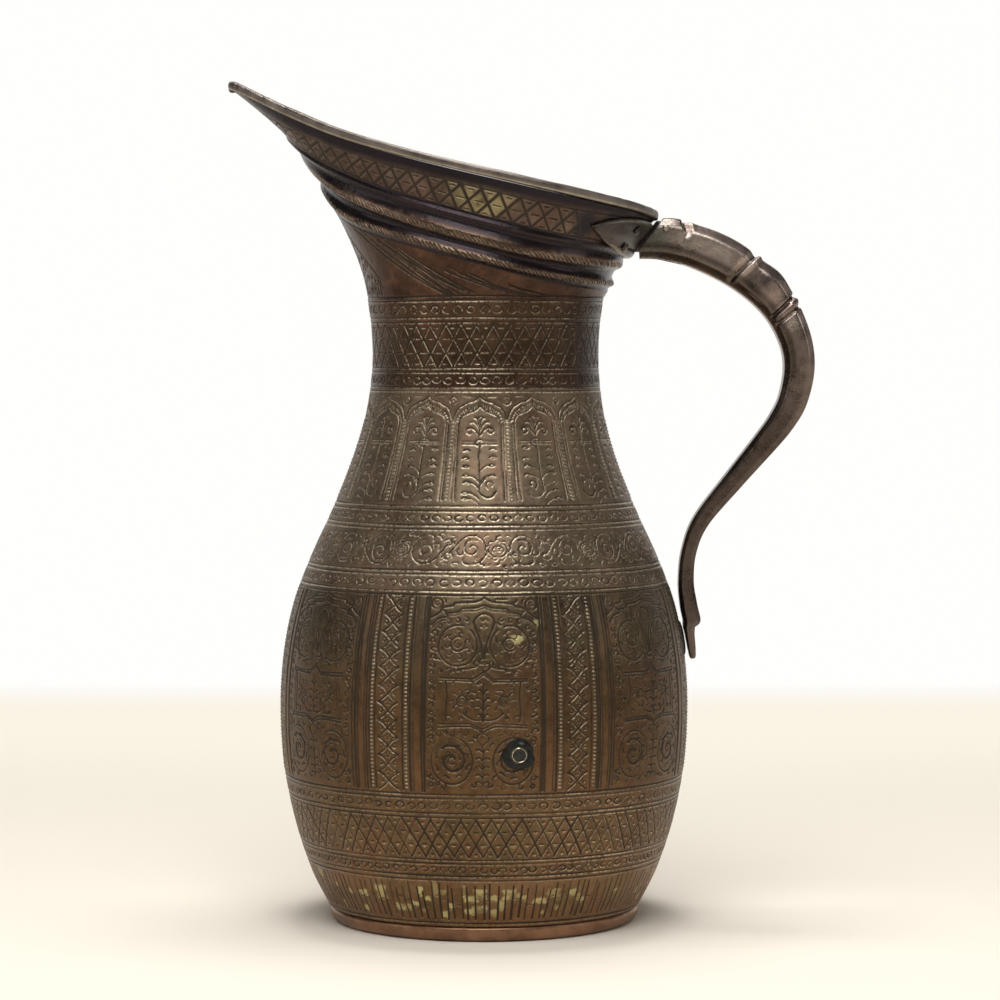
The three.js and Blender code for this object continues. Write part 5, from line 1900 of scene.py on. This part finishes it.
class EWER_OT_handle(bpy.types.Operator):
    """Make the cast handle"""

    bl_idname = "ewer.handle"
    bl_label = "Handle"

    def execute(self, context):
        heights, reaches = np.array(FRONT_END).T

        def front(z):
            """How far from the axis the bar starts, at a height."""
            return np.interp(z, heights, reaches)

        tries = np.linspace(0, 0.2, 161)[:, None] + np.zeros(len(OCTAGON))
        rings = octagon_rings(*handle_shape(tries))
        start = tries[(rings[..., 0] >= front(rings[..., 2])).argmax(0), 0]

        share = np.linspace(0, 1, 421)
        near = np.abs(share[:, None] - np.array([cut[0] for cut in HANDLE_CUTS])).min(1) < 0.016
        share = np.sort(np.concatenate([share, share[near] + share[1] / 2]))[:, None]
        spread = share + start * np.clip(1 - share / 0.2, 0, 1)
        rings = octagon_rings(*handle_shape(spread))
        rings[0, :, 0] = np.maximum(rings[0, :, 0], front(rings[0, :, 2]))
        side = np.clip(1 - (OCTAGON[:, 2] + OCTAGON[:, 3] * HANDLE_CHAMFER), 0, 2)
        out, dirt = handle_relief(spread, side)
        away = rings - rings.mean(1, keepdims=True)
        rings = rings + away / np.linalg.norm(away, axis=-1, keepdims=True) * out[..., None]

        tongue = np.array(TONGUE_STATIONS)[:, :, None]
        down = np.zeros((len(tongue), 1, 2)) + (0.12, -0.993)
        ends = octagon_rings(tongue[:, None, :2, 0], down, tongue[:, 2], tongue[:, 3])
        rings = np.concatenate([rings, ends])
        first, last = (rings[k].mean(0) + 0 * rings[:1] for k in (0, -1))
        points = np.concatenate([first, rings, last])
        faces = ring_faces(*points.shape[:2], closed_rows=False)
        fields = self.wear(len(points), spread, side, dirt)
        thing = mesh_object("handle_bar", points.reshape(-1, 3), faces, fields, 75)
        merged(thing)
        self.cut_fork(thing)
        green = (0.075, 0.08, 0.062)
        dark, light, rub = (0.15, 0.108, 0.092), (0.33, 0.252, 0.218), (0.66, 0.58, 0.5)
        metal = plain_metal("Cast handle", dark, light, 0.3, 0.95, green, 0.00006, rub)
        thing.data.materials.clear()
        finish(thing, "handle", "handle", metal=metal)
        return {"FINISHED"}

    def wear(self, rows, spread, side, dirt):
        """Dirt in the cuts, rubbed corners, green on the fork, a painted sheen on a side and a painted
        highlight on a roll, and painted shade under the bar, on the first knuckle's top and down the lower
        half.
        """
        chased, worn, stain = (np.zeros((rows, len(side))) for _ in range(3))
        body = slice(1, 1 + len(spread))
        # Painted shade on the lower bevel and the inner face
        under = ease(side, 1.15, 1.35) * (1 - ease(side, 1.8, 1.95))
        chased[body] = np.maximum(0.85 * dirt, 0.85 * under * (1 - ease(spread, 0.5, 0.62)))
        # Painted shade on the top of the first knuckle, which faces the overhead lamp
        knuckle_shade = 0.6 * (1 - ease(side, 0.4, 0.65)) * (1 - ease(spread, 0.15, 0.165))
        chased[body] = np.maximum(chased[body], knuckle_shade)
        worn[1:-1] = 0.4 * np.tile([0.8, 0.25, 0, 0, 0.25, 0.8], 8)
        worn[body] *= 1 - 0.8 * dome((spread - 0.11) / 0.03)
        worn[body] *= 1 - 0.75 * ease(spread, 0.28, 0.3)
        # A painted sheen down the side facets of the first segment
        sheen_side = dome((side - 0.95) / 0.7)
        worn[body] += 0.55 * sheen_side * dome((spread - 0.18) / 0.13)
        worn[body] += 1.2 * dome((side - 0.75) / 0.9) * dome((spread - 0.437) / 0.017)
        # A painted highlight along the top of the first crease's roll
        worn[body] += 0.4 * (side < 1.2) * dome((spread - 0.3045 + 0.008 * side) / 0.006)
        # Painted shade darkens the lower half of the bar
        lower_shade = 0.3 * ease(spread, 0.36, 0.47) + 0.5 * ease(spread, 0.52, 0.68)
        chased[body] = np.maximum(chased[body], lower_shade)
        # The tongue keeps the same painted shade
        chased[1 + len(spread) : -1] = 0.8
        stain[body] = 0.75 * (1 - ease(spread, 0.07, 0.135))
        return {"chased": chased.ravel(), "worn": np.clip(worn, 0, 1).ravel(), "stain": stain.ravel()}

    def cut_fork(self, thing):
        """Saws the slot for the saddle's lug."""
        slot_half = (LUG_HALF_WIDTH + GAP) * MM
        # A box that opens towards the collar and ends a gap behind the lug
        work = bmesh.new()
        bmesh.ops.create_cube(work, size=1)
        bmesh.ops.scale(work, vec=(0.04, 2 * slot_half, 0.06), verts=work.verts)
        bmesh.ops.translate(work, vec=(0.05135, 0, 0.2434), verts=work.verts)
        tool = bpy.data.meshes.new("fork_tool")
        work.to_mesh(tool)
        work.free()
        cutter = bpy.data.objects.new("fork_tool", tool)
        bpy.context.scene.collection.objects.link(cutter)
        modifier = thing.modifiers.new("Fork", "BOOLEAN")
        modifier.operation, modifier.object, modifier.solver = "DIFFERENCE", cutter, "EXACT"
        view = bpy.context.evaluated_depsgraph_get()
        made = bpy.data.meshes.new_from_object(thing.evaluated_get(view), depsgraph=view)
        thing.modifiers.remove(modifier)
        thing.data = made
        bpy.data.objects.remove(cutter)
        made.set_sharp_from_angle(angle=math.radians(50))


class EWER_OT_saddle(bpy.types.Operator):
    """Make the leaf-ended saddle, its lug, the pin and the rivets"""

    bl_idname = "ewer.saddle"
    bl_label = "Saddle"

    def execute(self, context):
        dark, light, spots = (0.032, 0.026, 0.024), (0.105, 0.086, 0.078), (0.02, 0.022, 0.02)
        metal = plain_metal("Saddle copper", dark, light, 0.34, 0.95, spots, 0.00008)
        self.plate(metal)
        self.lug(metal)
        self.pin()
        self.rivets(metal)
        return {"FINISHED"}

    def plate(self, metal):
        """The plate, which narrows to a leaf's tip at both ends."""
        columns, rows = 150, 42
        share = np.linspace(-1, 1, columns)[None, :]
        across = np.linspace(-1, 1, rows)[:, None]
        leaf = np.maximum(1 - np.abs(share) ** 4, 0.04)
        level = SADDLE_MIDDLE + SADDLE_HALF * leaf * across
        bearing = 90 + share * SADDLE_REACH + 0 * across
        ends = 1 - np.abs(share) ** 14
        rounded = np.sqrt(np.clip(1 - np.abs(across) ** 7, 0.02, 1)) * np.sqrt(np.clip(ends, 0.02, 1))
        spine = 0.35 * dome(across / 0.5) * ease(np.abs(share), 0.25, 0.8)
        thickness = SADDLE_THICKNESS * rounded + spine
        points, faces = closed_sheet(*raised(collar_point, bearing, level, GAP + thickness, GAP))
        edge = np.clip(1.3 * dome((np.abs(across) - 0.93) / 0.1) + 0 * share, 0, 1)
        worn = np.concatenate([edge.ravel(), np.zeros(edge.size)])
        # Painted shade on the plate's upper half, under the lip
        stain = np.concatenate([(0.55 * ease(across, 0.2, 0.9) + 0 * share).ravel(), np.zeros(edge.size)])
        plate = mesh_object("saddle_leaf", points, faces, {"worn": worn * 0.35, "stain": stain}, 50)
        finish(plate, "handle_saddle", "handle_saddle", metal=metal)

    def lug(self, metal):
        """The block on the plate's back that enters the handle's fork."""
        work = bmesh.new()
        near, far = (
            [work.verts.new((x * MM, y * MM, z * MM)) for x, z in LUG_OUTLINE]
            for y in (-LUG_HALF_WIDTH, LUG_HALF_WIDTH)
        )
        work.faces.new(near)
        work.faces.new(far[::-1])
        for k in range(len(near)):
            on = (k + 1) % len(near)
            work.faces.new([near[on], near[k], far[k], far[on]])
        bmesh.ops.recalc_face_normals(work, faces=work.faces)
        bmesh.ops.bevel(work, geom=work.edges, offset=0.0005, segments=3, affect="EDGES", profile=0.5)
        mesh = bpy.data.meshes.new("saddle_lug")
        work.to_mesh(mesh)
        work.free()
        lug = bpy.data.objects.new("saddle_lug", mesh)
        bpy.context.scene.collection.objects.link(lug)
        mesh.polygons.foreach_set("use_smooth", np.ones(len(mesh.polygons), bool))
        mesh.set_sharp_from_angle(angle=math.radians(40))
        finish(lug, "handle_saddle", "handle_saddle", metal=metal)

    def pin(self):
        """The pin with rounded ends, turned upright and then laid across."""
        pale = plain_metal("Pin metal", (0.15, 0.13, 0.1), (0.36, 0.32, 0.25), 0.34, 0.95, (0.12, 0.14, 0.11))
        end = [(0, -8.6), (0.5, -8.58), (0.95, -8.45), (1.25, -8.1), (PIN_RADIUS, -7.7)]
        pin = turned("handle_pin_piece", end + [(r, -y) for r, y in end[::-1]], 32)
        place = np.array([PIN_X, 0, PIN_Z]) * MM
        shifted(pin, lambda points: points[:, [0, 2, 1]] * (1, -1, 1) + place)
        finish(pin, "handle_pin", "handle_pin", metal=pale)

    def rivets(self, metal):
        """Four rivets through plate and collar."""
        head = 2 * GAP + SADDLE_THICKNESS
        profile = [(0, head + 0.62), (0.6, head + 0.58), (1.1, head + 0.44), (1.45, head + 0.22), (1.6, head)]
        profile += [(0.9, head - 0.02), (0.9, -1.53), (1.6, -1.55), (1.4, -1.9), (0.9, -2.1), (0, -2.15)]
        stud = turned("rivet", profile, 20)
        bearings, levels = (a.ravel() for a in np.meshgrid(RIVET_BEARINGS, RIVET_LEVELS))
        places = collar_point(bearings, levels)
        outward = normal_of(collar_point, bearings, levels)
        across = np.cross(outward, (0, 0, 1.0))
        rivets = studded("saddle_rivets", stud, places, outward, across, metal, 0.95)
        names = [f"saddle_rivet_{side}_{height}" for side in ("near", "far") for height in ("lower", "upper")]
        finish(rivets, "saddle_rivets", *names)


class EWER_OT_repairs(bpy.types.Operator):
    """Make the plug in the belly and the solder round it and behind the handle's tongue"""

    bl_idname = "ewer.repairs"
    bl_label = "Repairs"

    def execute(self, context):
        dark, light, spots = (0.009, 0.01, 0.009), (0.028, 0.03, 0.026), (0.09, 0.12, 0.11)
        solder = plain_metal("Old solder", dark, light, 0.42, 0.75, spots, 0.0001)
        self.plug()
        self.ring(solder)
        self.pad(solder)
        return {"FINISHED"}

    def plug(self):
        """The plug with a raised rim round its head."""
        place = body_point(REPAIR_BEARING, np.array(REPAIR_HEIGHT))
        outward = normal_of(body_point, REPAIR_BEARING, np.array(REPAIR_HEIGHT))
        across = np.cross((0, 0, 1.0), outward)
        profile = [(0, 0.75), (1.1, 0.72), (1.75, 0.62), (1.9, 0.66), (2.05, 1.08), (2.25, 1.2), (2.42, 1.05)]
        profile += [(2.52, 0.55), (2.9, 0.5), (2.9, 0.35)]
        profile += [(1.9, 0.33), (1.9, -1.53), (2.9, -1.55), (2.6, -2.2), (0, -2.4)]
        bright = [0, 0, 0, 0, 0.5, 1, 0.8, 0.1] + [0] * 7
        plug = turned("repair_stud", profile, 64, {"worn": np.array(bright, float)})
        metal = plain_metal("Plug metal", (0.025, 0.026, 0.024), (0.07, 0.068, 0.06), 0.32, 0.9)
        piece = studded("repair_plug_piece", plug, place[None], outward[None], across[None], metal, 0.999)
        finish(piece, "repair_plug", "repair_plug")

    def ring(self, solder):
        """The ragged, lumpy solder round the plug."""
        turns, rings = 160, 16
        hand = np.random.default_rng(71)
        turn = np.arange(turns) * 2 * math.pi / turns
        waves = sum(0.95 / n * np.sin(n * turn + hand.uniform(0, 6.28)) for n in (2, 3, 5, 9))
        ragged = 4.9 + 0.8 * np.abs(np.sin(turn)) + waves
        share = np.linspace(0, 1, rings)[:, None]
        radius = 3.2 + (ragged - 3.2) * share
        lumps = sum(0.07 * np.sin(n * turn + hand.uniform(0, 6.28) + 5 * share) for n in (4, 7, 11))
        height = GAP + (0.55 + lumps) * np.sqrt(np.clip(1 - share**3, 0, 1)) + 0.02
        z = REPAIR_HEIGHT + radius * np.sin(turn)
        bearing = REPAIR_BEARING + np.degrees(radius * np.cos(turn) / body_radius(z))
        points, faces = closed_ring(*raised(body_point, bearing, z, height, -0.3))
        # A painted highlight on the solder above the plug, carried by the stain field
        highlight_blob = 0.9 * np.exp(-(((turn - 1.4) / 0.25) ** 2) - ((share - 0.45) / 0.2) ** 2)
        ring = mesh_object("repair_solder_ring", points, faces, {"stain": np.append(highlight_blob, 0 * highlight_blob)})
        finish(ring, "solder", "repair_solder", metal=solder)

    def pad(self, solder):
        """The pad of solder behind the handle's tongue."""
        rows, columns = 40, 40
        across = np.linspace(-1, 1, columns)[None, :]
        along = np.linspace(-1, 1, rows)[:, None]
        z = 102.3 + (5.6 + 0.4 * np.sin(5 * across)) * along
        half = 4.4 + 0.5 * np.sin(7 * along + 1) + 0.3 * np.sin(13 * along)
        bearing = 90 + np.degrees(across * half / body_radius(z))
        swell = (1 - np.abs(across) ** 4) * (1 - np.abs(along) ** 4)
        height = 0.12 + 0.75 * np.sqrt(swell)
        pad = mesh_object("tongue_solder_pad", *closed_sheet(*raised(body_point, bearing, z, height, -0.3)))
        finish(pad, "solder", "tongue_solder", metal=solder)


class EWER_OT_stage(bpy.types.Operator):
    """Make the pale floor, the soft lights and the camera"""

    bl_idname = "ewer.stage"
    bl_label = "Stage"

    def execute(self, context):
        scene = context.scene
        scene.view_settings.view_transform = "Standard"
        self.backdrop()
        self.world(scene)
        self.lamp("Front softbox", (-0.05, -0.8, 1.2), (0.0, 0.0, 0.14), 0.95, 14.0)
        self.lamp("Overhead softbox", (0.0, 0.1, 1.4), (0.0, 0.07, 0.0), 0.4, 10.5)
        self.lamp("Left softbox", (-1.25, -0.5, 0.6), (0.0, 0.0, 0.16), 0.6, 2.2)
        self.lamp("Right softbox", (1.3, -0.3, 0.6), (0.0, 0.0, 0.16), 0.6, 1.9)
        camera = bpy.data.objects.new("Camera", bpy.data.cameras.new("Camera"))
        scene.collection.objects.link(camera)
        camera.location = CAMERA_PLACE
        camera.rotation_euler = (math.radians(90 - CAMERA_TILT), 0, 0)
        camera.data.lens = CAMERA_LENS
        camera.data.sensor_width = 36
        scene.camera = camera
        return {"FINISHED"}

    def backdrop(self):
        """A floor that curves up into a wall."""
        near, far, radius, floor_half, wall_half = -16.0, 1.8, 0.2, 16.0, 1.9
        line = [(near, 0.0, floor_half), (far - radius, 0.0, floor_half)]
        for turn in np.linspace(-90, 0, 13)[1:]:
            narrow = floor_half + (wall_half - floor_half) * (turn + 90) / 90
            line.append((*around(far - radius, radius, radius, turn), narrow))
        line.append((far, 3.3, wall_half))
        points = [(side * half, y, z) for y, z, half in line for side in (-1, 1)]
        faces = [(2 * k, 2 * k + 1, 2 * k + 3, 2 * k + 2) for k in range(len(line) - 1)]
        floor = mesh_object("floor", np.array(points) / MM, np.array(faces))
        paint = Paint("Pale paper")
        tone = paint.noise(3.0, 2.0)
        depth = paint.along("Y")
        reach = paint.node("ShaderNodeVectorMath", {0: paint.places}, output="Value", operation="LENGTH")
        behind = paint.sum("MAXIMUM", paint.along("Z").between(0.0, 0.03), depth.between(0.72, 0.9))
        colour = paint.blend(behind, (0.87, 0.805, 0.7), (0.95, 0.94, 0.91))
        colour = paint.blend(tone * 0.1, colour, (0.88, 0.82, 0.72))
        paint.shade(colour, 0.9)
        paint.shader.inputs["Specular IOR Level"].default_value = 0.1
        rays = [f"Is {kind} Ray" for kind in ("Camera", "Glossy", "Transmission")]
        seen, mirrored, through = (paint.node("ShaderNodeLightPath", output=ray) for ray in rays)
        white = paint.blend(behind, (0.98, 0.92, 0.8), (1.0, 0.995, 0.975))
        glow = paint.node("ShaderNodeEmission", {"Color": white, "Strength": 1.0})
        pale = paint.sum("MAXIMUM", behind, reach.between(1.1, 2.6))
        pale = paint.sum("MAXIMUM", pale, depth.between(0.05, 0.66) * 0.85)
        share = (seen + mirrored + through) * (0.05 + pale * 0.95)
        plain = Wire(paint, paint.shader.outputs[0])
        mixed = paint.node("ShaderNodeMixShader", {0: share.between(0.0, 1.0), 1: plain, 2: glow})
        output = paint.nodes["Material Output"]
        paint.links.new(mixed.socket, output.inputs["Surface"])
        floor.data.materials.append(paint.material)

    def world(self, scene):
        """A faint warm light from all sides."""
        world = bpy.data.worlds.new("Studio")
        world.use_nodes = True
        back = world.node_tree.nodes["Background"]
        back.inputs[0].default_value = (1.0, 0.975, 0.93, 1.0)
        back.inputs[1].default_value = 0.11
        scene.world = world

    def lamp(self, name, place, aim, size, power):
        """A square lamp that faces a point."""
        data = bpy.data.lights.new(name, "AREA")
        data.shape = "SQUARE"
        data.size = size
        data.energy = power
        lamp = bpy.data.objects.new(name, data)
        bpy.context.scene.collection.objects.link(lamp)
        lamp.location = place
        lamp.rotation_euler = (Vector(aim) - Vector(place)).to_track_quat("-Z", "Y").to_euler()


class EWER_PT_panel(bpy.types.Panel):
    """The ewer's pieces and settings"""

    bl_idname = "EWER_PT_panel"
    bl_label = "Ewer"
    bl_space_type = "VIEW_3D"
    bl_region_type = "UI"
    bl_category = "Ewer"

    def draw(self, context):
        for group in (context.scene.ewer_sizes, context.scene.ewer_finish):
            for label in group.__annotations__:
                self.layout.prop(group, label)
        for piece in PIECES:
            self.layout.operator(piece.bl_idname)


PIECES = (
    EWER_OT_belly,
    EWER_OT_shoulder,
    EWER_OT_neck,
    EWER_OT_collar,
    EWER_OT_lining,
    EWER_OT_lip,
    EWER_OT_foot,
    EWER_OT_handle,
    EWER_OT_saddle,
    EWER_OT_repairs,
    EWER_OT_stage,
)
CLASSES = (EwerSizes, EwerFinish, *PIECES, EWER_PT_panel)


def register():
    for item in CLASSES:
        bpy.utils.register_class(item)
    bpy.types.Scene.ewer_sizes = bpy.props.PointerProperty(type=EwerSizes)
    bpy.types.Scene.ewer_finish = bpy.props.PointerProperty(type=EwerFinish)


def unregister():
    del bpy.types.Scene.ewer_finish
    del bpy.types.Scene.ewer_sizes
    for item in reversed(CLASSES):
        bpy.utils.unregister_class(item)


def main():
    register()
    bpy.ops.ewer.belly()
    bpy.ops.ewer.shoulder()
    bpy.ops.ewer.neck()
    bpy.ops.ewer.collar()
    bpy.ops.ewer.lining()
    bpy.ops.ewer.lip()
    bpy.ops.ewer.foot()
    bpy.ops.ewer.handle()
    bpy.ops.ewer.saddle()
    bpy.ops.ewer.repairs()
    bpy.ops.ewer.stage()


if __name__ == "__main__":
    main()
